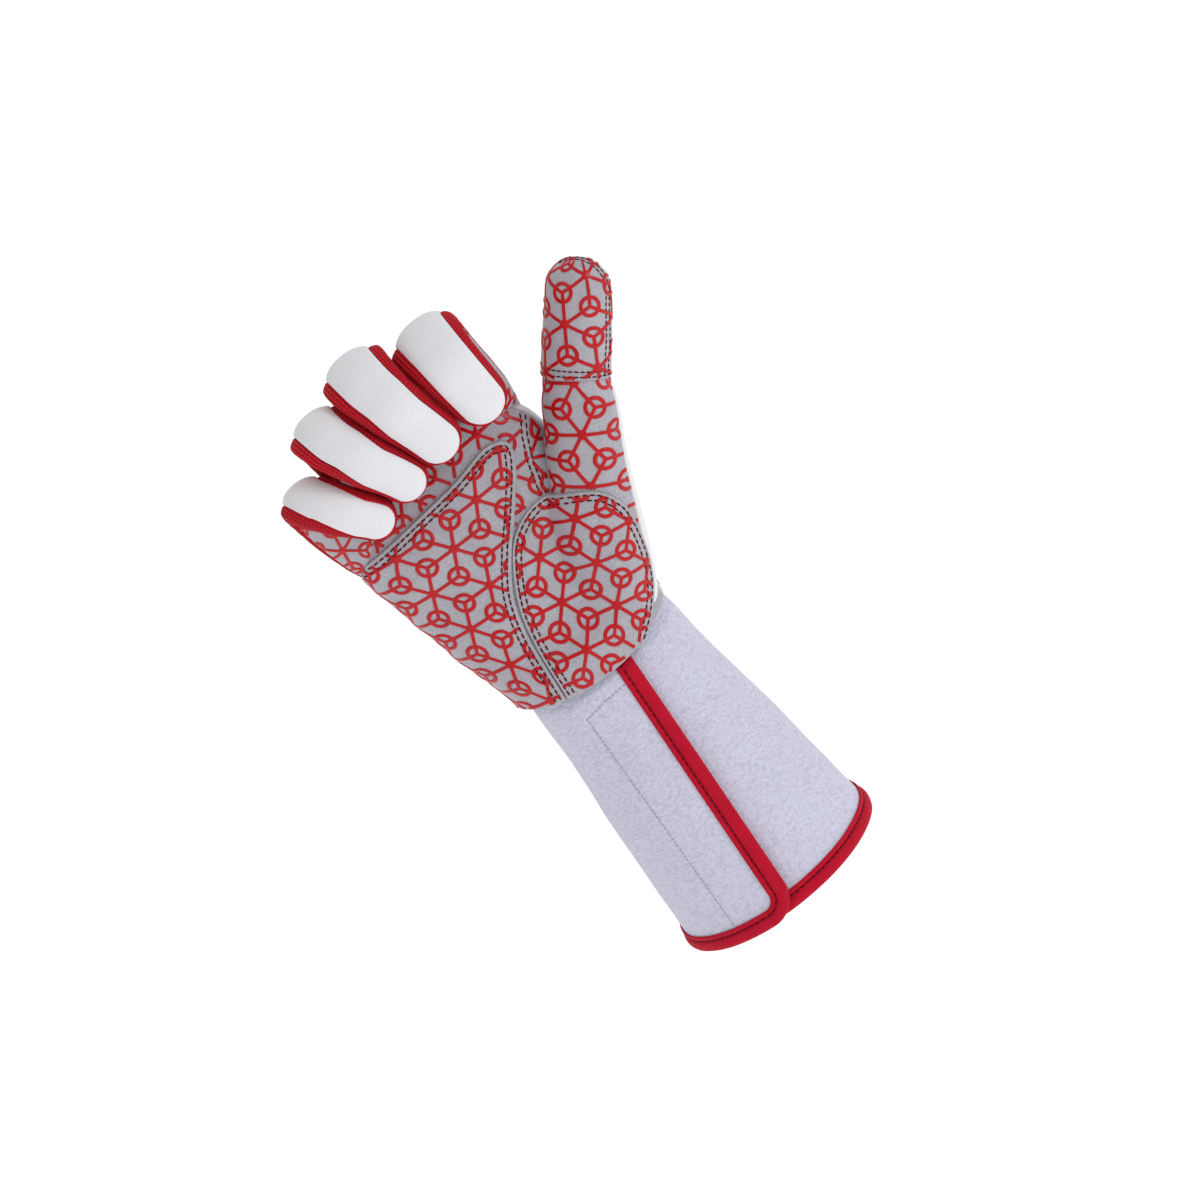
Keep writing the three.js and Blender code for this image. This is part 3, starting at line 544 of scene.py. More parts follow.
def prism(name, outline, front, back):
    """Block over an outline in X and Z between two depths."""
    count = len(outline)
    near = np.stack((outline[:, 0], np.full(count, front), outline[:, 1]), axis=-1)
    far = near + np.array([0, back - front, 0])
    faces = [[j, (j + 1) % count, (j + 1) % count + count, j + count] for j in range(count)]
    mesh = bpy.data.meshes.new(name)
    faces += [list(range(count))[::-1], list(range(count, 2 * count))]
    mesh.from_pydata((np.concatenate((near, far)) * MM).tolist(), [], faces)
    area = np.sum(outline[:, 0] * np.roll(outline[:, 1], -1)
                  - outline[:, 1] * np.roll(outline[:, 0], -1))
    if area > 0:
        mesh.flip_normals()
    mesh.update()
    return mesh


def hem_block():
    """Block that cuts the hand's lower edge to its curve."""
    half = WRIST_WIDTH / 2 + WRIST_EASE + HAND_WALL
    share = np.linspace(-HEM_REACH, HEM_REACH, 41)
    outline = np.stack((half * share, HAND_START + HEM_RISE * share**2), axis=-1)
    low = HAND_START - CUFF_TUCK
    outline = np.vstack((outline, [[outline[-1, 0], low], [outline[0, 0], low]]))
    return prism("hem_block", outline, -HALF_PALM, HALF_PALM)


def outline_distance(points, outline):
    """Distance in X and Z from points to the nearest side of an outline."""
    a, b = outline, np.roll(outline, -1, axis=0)
    side = b - a
    length = np.maximum(np.sum(side**2, axis=1), 1e-9)
    flat = points.reshape(-1, 1, 2)
    share = np.clip(np.sum((flat - a) * side, axis=2) / length, 0, 1)
    gap = np.linalg.norm(flat - (a + share[..., None] * side), axis=2)
    return gap.min(axis=1).reshape(points.shape[:-1])


def inside_outline(points, outline):
    """Whether points lie inside an outline in X and Z."""
    x, z = points[..., 0, None], points[..., 1, None]
    a, b = outline, np.roll(outline, -1, axis=0)
    spans = (a[:, 1] > z) != (b[:, 1] > z)
    slope = (b[:, 0] - a[:, 0]) / np.where(b[:, 1] == a[:, 1], 1, b[:, 1] - a[:, 1])
    crossing = spans & (x < a[:, 0] + (z - a[:, 1]) * slope)
    return crossing.sum(axis=-1) % 2 == 1


def trimmed(mesh, *cuts):
    """The mesh after each pair of a way to cut and a closed mesh to cut with."""
    collection = bpy.context.scene.collection
    piece = bpy.data.objects.new(mesh.name, mesh)
    helpers = [piece]
    collection.objects.link(piece)
    for mode, cutter in cuts:
        helper = bpy.data.objects.new("cutter", cutter)
        collection.objects.link(helper)
        helpers.append(helper)
        modifier = piece.modifiers.new("cut", "BOOLEAN")
        modifier.operation, modifier.object, modifier.solver = mode, helper, "MANIFOLD"
    bpy.context.view_layer.update()
    depsgraph = bpy.context.evaluated_depsgraph_get()
    result = bpy.data.meshes.new_from_object(piece.evaluated_get(depsgraph))
    for helper in helpers:
        bpy.data.objects.remove(helper)
    name = mesh.name
    bpy.data.meshes.remove(mesh)
    result.name = name
    if not result.polygons:
        raise RuntimeError(f"nothing is left of {name} after its cuts")
    return result


def surface(*meshes):
    """Search tree over meshes, in metres."""
    points, faces = [], []
    for mesh in meshes:
        base = len(points)
        points.extend(vertex.co for vertex in mesh.vertices)
        faces.extend([base + i for i in polygon.vertices] for polygon in mesh.polygons)
    return BVHTree.FromPolygons(points, faces)


def cast(tree, origins, directions, reach=1000.0):
    """Where rays meet a surface, in millimetres, with its normals and which ones met it."""
    shape = origins.shape[:-1]
    flat = origins.reshape(-1, 3)
    ways = np.broadcast_to(directions, origins.shape).reshape(-1, 3)
    places, normals = np.zeros_like(flat), np.tile(-Y_AXIS, (len(flat), 1))
    met = np.zeros(len(flat), bool)
    for i, (start, way) in enumerate(zip(flat, ways)):
        hit, normal, _, _ = tree.ray_cast(Vector(start * MM), Vector(way), reach * MM)
        if hit is not None:
            places[i], normals[i], met[i] = np.array(hit) / MM, normal, True
    return places.reshape(*shape, 3), normals.reshape(*shape, 3), met.reshape(shape)


def front_depth(tree, x, z, missing=20.0):
    """Depth at which a surface shows from the palm's side."""
    origins = np.stack((x, np.full_like(x, -200.0), z), axis=-1)
    places, _, met = cast(tree, origins, Y_AXIS)
    return np.where(met, places[..., 1], missing)


def soft_min(a, b, size):
    """The smaller of two depths, flowing into each other over a size."""
    share = np.clip(0.5 + 0.5 * (b - a) / size, 0, 1)
    return b + (a - b) * share - size * share * (1 - share)


# Finishes

class Value:
    """A number or vector in a material, on which Python's operators add Math nodes."""

    def __init__(self, finish, socket):
        self.finish, self.socket = finish, socket

    def math(self, operation, *others):
        values = dict(enumerate((self, *others)))
        return self.finish.node("ShaderNodeMath", {"operation": operation}, values)

    def __add__(self, other):
        return self.math("ADD", other)

    def __sub__(self, other):
        return self.math("SUBTRACT", other)

    def __mul__(self, other):
        return self.math("MULTIPLY", other)

    def __truediv__(self, other):
        return self.math("DIVIDE", other)

    __radd__, __rmul__ = __add__, __mul__

    def __rsub__(self, other):
        return self.math("MULTIPLY", -1) + other

    def sin(self):
        return self.math("SINE")

    def abs(self):
        return self.math("ABSOLUTE")

    def fract(self):
        return self.math("FRACT")

    def ramp(self, low, high, start=0.0, stop=1.0):
        """The value eased between two limits."""
        return self.finish.node(
            "ShaderNodeMapRange", {"interpolation_type": "SMOOTHSTEP"},
            {0: self, 1: low, 2: high, 3: start, 4: stop})


class Finish:
    """A material, its shader and the nodes that feed it."""

    def __init__(self, name, **constants):
        self.material = bpy.data.materials.new(name)
        self.material.use_nodes = True
        self.tree = self.material.node_tree
        self.tree.nodes.clear()
        self.shader = self.tree.nodes.new("ShaderNodeBsdfPrincipled")
        output = self.tree.nodes.new("ShaderNodeOutputMaterial")
        self.tree.links.new(self.shader.outputs[0], output.inputs["Surface"])
        for key, value in constants.items():
            name = key.replace("_", " ").title().replace("Ior", "IOR")
            self.shader.inputs[name].default_value = value

    def node(self, kind, settings=None, inputs=None, output=0):
        made = self.tree.nodes.new(kind)
        for key, value in (settings or {}).items():
            setattr(made, key, value)
        for key, value in (inputs or {}).items():
            if isinstance(value, Value):
                self.tree.links.new(value.socket, made.inputs[key])
            else:
                made.inputs[key].default_value = value
        return Value(self, made.outputs[output])

    def feed(self, name, value):
        self.tree.links.new(value.socket, self.shader.inputs[name])

    def place(self):
        """Where a point is, in metres."""
        return self.node("ShaderNodeTexCoord", output="Object")

    def flat(self):
        """The cloth's own two directions, in hundreds of millimetres."""
        uv = self.node("ShaderNodeTexCoord", output="UV")
        split = self.node("ShaderNodeSeparateXYZ", inputs={0: uv})
        return split, Value(self, split.socket.node.outputs[1])

    def vector(self, x, y, z=0.0):
        return self.node("ShaderNodeCombineXYZ", inputs={0: x, 1: y, 2: z})

    def noise(self, vector, scale, detail=2.0, roughness=0.5):
        return self.node("ShaderNodeTexNoise", inputs={
            "Vector": vector, "Scale": scale, "Detail": detail, "Roughness": roughness})

    def cells(self, vector, scale):
        return self.node("ShaderNodeTexVoronoi", {"feature": "SMOOTH_F1"},
                         {"Vector": vector, "Scale": scale, "Smoothness": 0.6})

    def mix(self, share, first, second):
        """Colour between two colours."""
        def colour(value):
            return value if isinstance(value, Value) else (*value, 1.0)

        return self.node("ShaderNodeMix", {"data_type": "RGBA"}, {
            0: share, 6: colour(first), 7: colour(second)}, output=2)

    def bump(self, height, depth, strength=1.0):
        """Relief from a height between 0 and 1, its depth in millimetres."""
        self.feed("Normal", self.node("ShaderNodeBump", inputs={
            "Strength": strength, "Distance": depth * MM, "Height": height}))


def tint(colour, share):
    """A colour made darker or lighter by a share."""
    return tuple(min(1.0, part * share) for part in colour)


def suede_finish(name, colour, speckle, depth):
    """Napped leather: fine fibres, faint clouds and a dusty sheen."""
    finish = Finish(name, roughness=0.9, sheen_weight=0.25, sheen_roughness=0.5)
    place = finish.place()
    fibres = finish.noise(place, 1500, 3, 0.75)
    clouds = finish.noise(place, 60, 3, 0.6)
    share = fibres * 1.9 + clouds * 0.5 - 0.7
    finish.feed("Base Color", finish.mix(
        share, tint(colour, 1 - speckle), tint(colour, 1 + speckle)))
    finish.feed("Roughness", clouds * 0.2 + 0.78)
    finish.bump(fibres + finish.noise(place, 700, 2) * 0.8, depth)
    return finish.material


def knit_finish(colour, pitch):
    """Rib knit: rows of slanting stitches that lean left and right in turn, with painted shade in
    the valleys and a painted highlight on the raised ribs.
    """
    finish = Finish("crimson_rib_knit", roughness=0.9, specular_ior_level=0.25)
    u, v = finish.flat()
    across = u * (100 / pitch)
    lean = (across.fract() - 0.5).abs()
    rib = (lean * 2).ramp(0.0, 0.9)
    stitch = ((v * (100 / pitch) * 1.1 + lean * 1.6) * math.tau).sin() * 0.5 + 0.5
    wool = finish.noise(finish.place(), 1800, 3, 0.7)
    height = (1 - rib) * 0.65 + stitch * 0.4 + wool * 0.15
    # The colour follows the knit's height: painted shade in the low valleys between ribs and
    # stitches, a painted highlight on the raised ribs.
    shade = height.ramp(0.1, 0.95)
    finish.feed("Base Color", finish.mix(shade, tint(colour, 0.36), tint(colour, 1.45)))
    finish.bump(height, 0.5)
    return finish.material


def cuff_finish(colour):
    """Crepe cloth: small flattened pebbles in rows, with a fine thread grain and painted shade in
    the hollows between the pebbles.
    """
    finish = Finish("cuff_crepe", roughness=0.82, sheen_weight=0.2)
    u, v = finish.flat()
    warp = finish.noise(finish.place(), 240, 2)
    grain = finish.vector(u * 62 + warp * 0.5, v * 100 + warp * 0.6)
    pebbles = finish.cells(grain, 1.0)
    threads = (u * (100 / 0.5) * math.tau).sin() * (v * (100 / 0.5) * math.tau).sin()
    clouds = finish.noise(finish.place(), 35, 3)
    height = (1 - pebbles) * 0.9 + threads * 0.08
    # The colour is darker in the hollows between the pebbles, which is painted shade, and it also
    # varies at random with the clouds.
    share = height * 1.1 + clouds * 0.3 - 0.3
    finish.feed("Base Color", finish.mix(share, tint(colour, 0.76), tint(colour, 1.07)))
    finish.feed("Roughness", clouds * 0.2 + 0.7)
    finish.bump(height, 0.45)
    return finish.material


def tape_finish(colour):
    """Ribbed tape: fine ribs straight across it, with painted shade in the valleys between them."""
    finish = Finish("crimson_ribbed_tape", roughness=0.7, specular_ior_level=0.15)
    u, v = finish.flat()
    ribs = ((v + finish.noise(finish.place(), 300, 2) * 0.0006)
            * (100 / 0.85) * math.tau).sin() * 0.5 + 0.5
    threads = (u * (100 / 0.4) * math.tau).sin() * 0.5 + 0.5
    height = ribs * 0.8 + threads * 0.2
    worn = finish.noise(finish.place(), 90, 3)
    # The colour is darker in the valleys between the ribs, which is painted shade; the worn noise
    # adds tone that differs at random.
    finish.feed("Base Color", finish.mix(
        height * 0.8 + worn * 0.4 - 0.1, tint(colour, 0.45), tint(colour, 1.2)))
    finish.bump(height, 0.25)
    return finish.material


def print_finish(colour):
    """Raised rubbery print: glossy, with a slightly uneven skin."""
    finish = Finish("red_raised_print", roughness=0.3, specular_ior_level=0.22, coat_weight=0.2,
                    coat_roughness=0.1)
    place = finish.place()
    skin = finish.noise(place, 900, 2)
    worn = finish.noise(place, 120, 3)
    finish.feed("Base Color", finish.mix(worn, tint(colour, 0.82), tint(colour, 1.12)))
    finish.feed("Roughness", worn * 0.25 + 0.2)
    finish.bump(skin, 0.05)
    return finish.material


def thread_finish(name, colour):
    """Sewing thread, its plies twisted round it, with painted shade in the grooves between them."""
    finish = Finish(name, roughness=0.7, specular_ior_level=0.15)
    u, v = finish.flat()
    plies = ((u * 2 + v) * math.tau).sin() * 0.5 + 0.5
    # The colour is darker in the grooves between the plies: painted shade.
    finish.feed("Base Color", finish.mix(plies, tint(colour, 0.55), tint(colour, 1.15)))
    finish.bump(plies, 0.08)
    return finish.material


def hook_finish(colour):
    """Hook and loop tape: a dense pile of tiny loops."""
    finish = Finish("white_hook_tape", roughness=0.92)
    loops = finish.cells(finish.place(), 1400)
    finish.feed("Base Color", finish.mix(loops, tint(colour, 1.0), tint(colour, 0.7)))
    finish.bump(loops, 0.4)
    return finish.material


def floor_finish(colour):
    """Seamless pale studio paper, with a very fine tooth."""
    finish = Finish("studio_paper", roughness=0.95, emission_strength=0.5)
    tooth = finish.noise(finish.place(), 400, 2)
    finish.feed("Base Color", finish.mix(tooth, tint(colour, 0.99), colour))
    return finish.material


# Settings

def size_setting(name, about, default):
    return bpy.props.FloatProperty(
        name=name, description=about, default=default * MM, unit="LENGTH", subtype="DISTANCE",
        precision=5)


def colour_setting(name, about, default):
    return bpy.props.FloatVectorProperty(
        name=name, description=about, default=default, min=0, max=1, size=3, subtype="COLOR")


class GloveSizes(bpy.types.PropertyGroup):
    """Sizes of the details that the cloth, print and thread add to the solids."""

    edge_roll: size_setting("Edge roll", "Radius of a sewn panel's rolled edge", 0.9)
    print_width: size_setting("Print width", "Width of the printed lines", 1.72)
    print_height: size_setting("Print height", "How far the print stands up", 0.4)
    ring_radius: size_setting("Ring radius", "Middle radius of a printed ring", 3.75)
    stitch_length: size_setting("Stitch length", "Length of one stitch", 2.5)
    stitch_gap: size_setting("Stitch gap", "Distance between stitches", 0.35)
    thread_width: size_setting("Thread width", "Thickness of the sewing thread", 0.72)
    row_spacing: size_setting("Row spacing", "Distance between two rows of stitches", 2.1)
    knit_pitch: size_setting("Knit pitch", "Width of one rib of the knit", 1.3)


class GloveColours(bpy.types.PropertyGroup):
    """Colours of the glove's leathers, cloths, tapes and threads."""

    grip: colour_setting("Grip", "Grey suede of the palm and thumb", (0.405, 0.39, 0.43))
    white: colour_setting("White suede", "Suede of the backs", (0.76, 0.76, 0.79))
    knit: colour_setting("Knit", "Rib knit of the finger sides", (0.54, 0.006, 0.018))
    cuff: colour_setting("Cuff", "Crepe cloth of the cuff", (0.71, 0.705, 0.87))
    tape: colour_setting("Tape", "Ribbed tape along the edges", (0.65, 0.004, 0.03))
    print_ink: colour_setting("Print", "Raised print on the grip", (0.5, 0.0015, 0.005))
    thread: colour_setting("Thread", "Thread of the double seams", (0.11, 0.002, 0.008))
    cuff_thread: colour_setting("Cuff thread", "Thread of the cuff and the back's hem",
                                (0.42, 0.42, 0.49))
    hook: colour_setting("Hook tape", "Tape between the cuff's laps", (0.8, 0.8, 0.8))
    floor: colour_setting("Floor", "Studio paper", (0.92, 0.92, 0.92))


def sizes():
    return bpy.context.scene.glove_sizes


def colours():
    return bpy.context.scene.glove_colours


def setting(name):
    """A size from the settings, in millimetres."""
    return getattr(sizes(), name) / MM


SURFACES = {}
FINISHES = {}


def finish_of(name):
    """The material of a finish, made when it is first wanted."""
    if name not in FINISHES:
        c = colours()
        makers = {
            "grip": lambda: suede_finish("grey_grip_suede", tuple(c.grip), 0.34, 0.16),
            "white": lambda: suede_finish("white_suede", tuple(c.white), 0.07, 0.12),
            "knit": lambda: knit_finish(tuple(c.knit), setting("knit_pitch")),
            "cuff": lambda: cuff_finish(tuple(c.cuff)),
            "tape": lambda: tape_finish(tuple(c.tape)),
            "print": lambda: print_finish(tuple(c.print_ink)),
            "thread": lambda: thread_finish("dark_red_thread", tuple(c.thread)),
            "cuff_thread": lambda: thread_finish("grey_thread", tuple(c.cuff_thread)),
            "hook": lambda: hook_finish(tuple(c.hook)),
            "floor": lambda: floor_finish(tuple(c.floor)),
        }
        FINISHES[name] = makers[name]()
    return FINISHES[name]


def place_piece(mesh, finish, slot, *nodes):
    """Puts a piece in the scene, on the glove, in place of its solids."""
    piece = bpy.data.objects.new(mesh.name, mesh)
    bpy.context.scene.collection.objects.link(piece)
    mesh.materials.clear()
    mesh.materials.append(finish_of(finish))
    mesh.shade_smooth()
    mesh.set_sharp_from_angle(angle=math.radians(SHARP_ANGLE))
    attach(piece, "root")
    if nodes:
        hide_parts(*nodes)
    SURFACES[mesh.name] = mesh
    return piece


# Cuff

def cuff_half(up):
    """Half widths of the cuff at a height."""
    along = np.clip(up / CUFF_LENGTH, 0, 1)
    width, depth = read(CUFF_SECTIONS, "width", along), read(CUFF_SECTIONS, "depth", along)
    return ((WRIST_WIDTH + (MOUTH_WIDTH - WRIST_WIDTH) * width - LAP_STEP) / 2,
            (WRIST_DEPTH + (MOUTH_DEPTH - WRIST_DEPTH) * depth - LAP_STEP) / 2)


def cuff_span(up):
    """Length of cloth once round the cuff with its lap."""
    return math.tau * cuff_half(up)[0] + LAP_WIDTH


def cuff_point(across, up, out):
    """Point of the cuff at a length from the flap's edge, a height and a depth."""
    width, depth = cuff_half(up)
    edge = FLAP_EDGE_MOUTH + (FLAP_EDGE_WRIST - FLAP_EDGE_MOUTH) * up / CUFF_LENGTH
    angle = np.arcsin((edge - LAP_STEP / 2) / width) - across / width
    lift = LAP_STEP * (1 - smoothstep(across / (math.tau * width), LAP_HOLD, LAP_MEET))
    x, y = depth * np.sin(angle), -width * np.cos(angle)
    scale = (lift + out) / np.hypot(x, y)
    return np.stack((LAP_STEP / 2 + width * np.sin(angle) + x * scale,
                     LAP_STEP / 2 - depth * np.cos(angle) + y * scale,
                     up + 0 * across), axis=-1)


def cuff_relief(across, up):
    """Soft swells of the cloth: outwards on the outer lap, inwards on the inner one."""
    point = cuff_point(across, up, 0)
    swell = 0.55 * ripple(point * [1, 1, 0.5], 27, 3) + 0.18 * ripple(point, 10, 5)
    outer = 1 - smoothstep(across, LAP_WIDTH - 5, LAP_WIDTH + 20)
    inner = smoothstep(across, cuff_span(up) - LAP_WIDTH - 20, cuff_span(up) - LAP_WIDTH + 5)
    swell = swell + outer * (0.4 * np.abs(swell) - swell)
    swell = swell + inner * (-0.4 * np.abs(swell) - swell)
    return swell * (1 - smoothstep(up, 100, 118))


class GLOVE_OT_cuff(bpy.types.Operator):
    """Cuff: one cone of crepe cloth, lapped over on the palm's side"""

    bl_idname = "glove.cuff"
    bl_label = "Cuff"

    def execute(self, context):
        angles = np.linspace(0, math.pi / 2, 15)[:-1]
        base_span = float(cuff_span(0.0))
        across = np.concatenate((FLAP_CORNER * (1 - np.cos(angles)),
                                 np.linspace(FLAP_CORNER, base_span, 150)))
        inset = FLAP_CORNER - np.minimum(across, FLAP_CORNER)
        low = (FLAP_CORNER - np.sqrt(FLAP_CORNER**2 - inset**2))[:, None]
        level = np.linspace(0, 1, 72)[None]
        up = CUFF_LENGTH * level + low * (1 - level) ** 4
        across = (across / base_span)[:, None] * cuff_span(up)
        relief = cuff_relief(across, up)
        outer, inner = cuff_point(across, up, relief), cuff_point(across, up, relief - CUFF_WALL)
        uv = np.stack((across, up), axis=-1) / 100
        piece = place_piece(between("crepe_cuff", outer, inner, uv), "cuff", "cuff_cloth", "cuff")
        width, length = float(cuff_span(CUFF_LENGTH / 2)), CUFF_LENGTH
        return {"FINISHED"}


class GLOVE_OT_binding(bpy.types.Operator):
    """Binding: ribbed tape folded over the flap's edge, its corner and the mouth's rim"""

    bl_idname = "glove.binding"
    bl_label = "Binding"

    def profile(self):
        """Section of the tape, from its outer hem over the edge to its inner hem."""
        face, skin, wide = LAYER_GAP, LAYER_GAP + BINDING_WALL, BINDING_WIDTH
        groove, thick = wide * 0.66, BINDING_WALL
        swell = np.linspace(0, math.pi, 10)[1:-1]
        round_part = [(groove - 0.2 - (groove + 0.5) * t / math.pi,
                       skin - 0.2 + 0.85 * math.sin(t) ** 0.7) for t in swell]
        outer = [(wide, face), (wide, face + 0.5 * thick), (wide - 0.15, skin - 0.12),
                 (wide - 0.5, skin), (wide - 1.1, skin + 0.04), (groove + 0.55, skin),
                 (groove + 0.25, skin - 0.35), (groove, skin - 0.5), *round_part,
                 (-0.85, skin - 0.6), (-skin, -0.3)]
        middle = -CUFF_WALL / 2
        inner = [(x, 2 * middle - y) for x, y in outer[::-1]]
        inside = [(wide, -CUFF_WALL - face), (-0.1, -CUFF_WALL - face), (-0.1, face)]
        return np.array(outer + inner[:-1] + inside)

    def execute(self, context):
        top, span = HAND_START - 2 * LAYER_GAP, float(cuff_span(0.0))
        leg = np.arange(top, FLAP_CORNER, -1.1)
        turn = np.linspace(0, math.pi / 2, 18)[:-1]
        rim = np.linspace(FLAP_CORNER, span, 260)
        across = np.concatenate((0 * leg, FLAP_CORNER * (1 - np.cos(turn)), rim))
        up = np.concatenate((leg, FLAP_CORNER * (1 - np.sin(turn)), 0 * rim))
        in_x = np.concatenate((0 * leg + 1, np.cos(turn), 0 * rim))
        in_z = np.concatenate((0 * leg, np.sin(turn), 0 * rim + 1))
        steps = np.hypot(np.diff(across), np.diff(up))
        path = np.concatenate(([0], np.cumsum(steps)))[:, None]
        profile = self.profile()
        inward, out = profile[:, 0][None], profile[:, 1][None]
        height = up[:, None] + inward * in_z[:, None]
        width = across[:, None] * cuff_span(height) / span + inward * in_x[:, None]
        relief = cuff_relief(np.maximum(width, 0), np.maximum(height, 0))
        points = cuff_point(width, height, out + relief)
        rows, columns = points.shape[:2]
        faces = grid_faces(rows, columns, wrap=True)
        faces.append(list(range(columns)))
        faces.append(list(range((rows - 1) * columns, rows * columns))[::-1])
        around = np.concatenate(([0], np.cumsum(np.linalg.norm(np.diff(profile, axis=0), axis=1))))
        uv = np.stack((around[None] + 0 * path, path + 0 * around[None]), axis=-1) / 100
        mesh = build_mesh("ribbed_binding", points.reshape(-1, 3), faces, uv.reshape(-1, 2))
        place_piece(mesh, "tape", "binding_tape", "cuff_binding")
        return {"FINISHED"}


class GLOVE_OT_closure(bpy.types.Operator):
    """Closure: the hidden hook and loop tape between the laps"""

    bl_idname = "glove.closure"
    bl_label = "Closure"

    def execute(self, context):
        start = max(FLAP_CORNER, BINDING_WIDTH + 2 * LAYER_GAP)
        across = start + np.linspace(0, CLOSURE_WIDTH, 17)[:, None]
        up = start + np.linspace(0, CLOSURE_LENGTH, 60)[None]
        across, up = across + 0 * up, up + 0 * across
        rim = np.minimum(np.minimum(across - start, start + CLOSURE_WIDTH - across),
                         np.minimum(up - start, start + CLOSURE_LENGTH - up))
        top = -CUFF_WALL - LAYER_GAP
        outer = cuff_point(across, up, top - rolled(rim, 0.6))
        inner = cuff_point(across, up, top - CLOSURE_THICKNESS + 0 * up)
        uv = np.stack((across, up), axis=-1) / 100
        place_piece(between("hook_tape_strip", outer, inner, uv), "hook", "hook_tape",
                    "closure_strip")
        return {"FINISHED"}


# Hand, patches, thumb and fingers

def hollows():
    """The insides of the stalls, which open the hand's shell at their roots."""
    cuts = [("DIFFERENCE", stall_form("thumb_hollow", THUMB, -HAND_WALL))]
    for name, stall in STALLS.items():
        cuts.append(("DIFFERENCE", stall_form(f"{name}_hollow", stall, -FINGER_WALL)))
    return cuts


class GLOVE_OT_hand(bpy.types.Operator):
    """Hand: the white back and the grey palm, sewn together at both sides"""

    bl_idname = "glove.hand"
    bl_label = "Hand"

    def execute(self, context):
        def back_relief(base, rim, along, turn, polar):
            soft = smoothstep(rim, 0, 6)
            return soft * (0.5 * ripple(base, 24, 11) + 0.15 * ripple(base, 8, 12))

        def palm_relief(base, rim, along, turn, polar):
            return smoothstep(rim, 0, 5) * (0.4 * ripple(base, 16, 13) - 0.1)

        roll = setting("edge_roll")
        cuts = hollows() + [("DIFFERENCE", hem_block())]
        back = panel("suede_hand_back", HAND, 0, HAND_WALL, back_relief, step=1.6, roll=roll)
        palm = panel("grip_palm_panel", HAND, 1, HAND_WALL, palm_relief, step=1.6, roll=roll)
        place_piece(trimmed(back, *cuts), "white", "white_suede", "hand_back")
        place_piece(trimmed(palm, *cuts), "grip", "grip_leather", "palm_panel")
        return {"FINISHED"}


def hand_front(x, z, grow):
    """Depth of the palm's face over X and Z."""
    reach = PALM_LENGTH - KNUCKLE_ARCH
    along = np.clip((z - HAND_START) / reach, 0, 1)
    half, palm = HAND.value("half", along) + grow, HAND.value("palm", along) + grow
    beyond = np.clip(z - HAND_START - reach, 0, None) / (KNUCKLE_ARCH + grow)
    aside = np.abs(x - HAND.value("centre", along)[..., 0]) / half
    share = 2 / HAND_POWER
    return -palm * (1 - np.clip(aside**share + beyond**share, 0, 1)) ** (1 / share)


def patch_front(x, z, grow, soft):
    """Depth of the hand and the thumb together, flowing into each other."""
    thumb = surface(stall_form("thumb_rest", THUMB, grow, 1.5))
    return soft_min(hand_front(x, z, grow), front_depth(thumb, x, z), soft)


def seam_grooves(rim):
    """How far two rows of stitches pull a patch down at a distance from its rim."""
    first, second = PATCH_ROW, PATCH_ROW + setting("row_spacing")
    depth, width = 0.22, 0.55
    return depth * (np.exp(-(((rim - first) / width) ** 2))
                    + np.exp(-(((rim - second) / width) ** 2)))


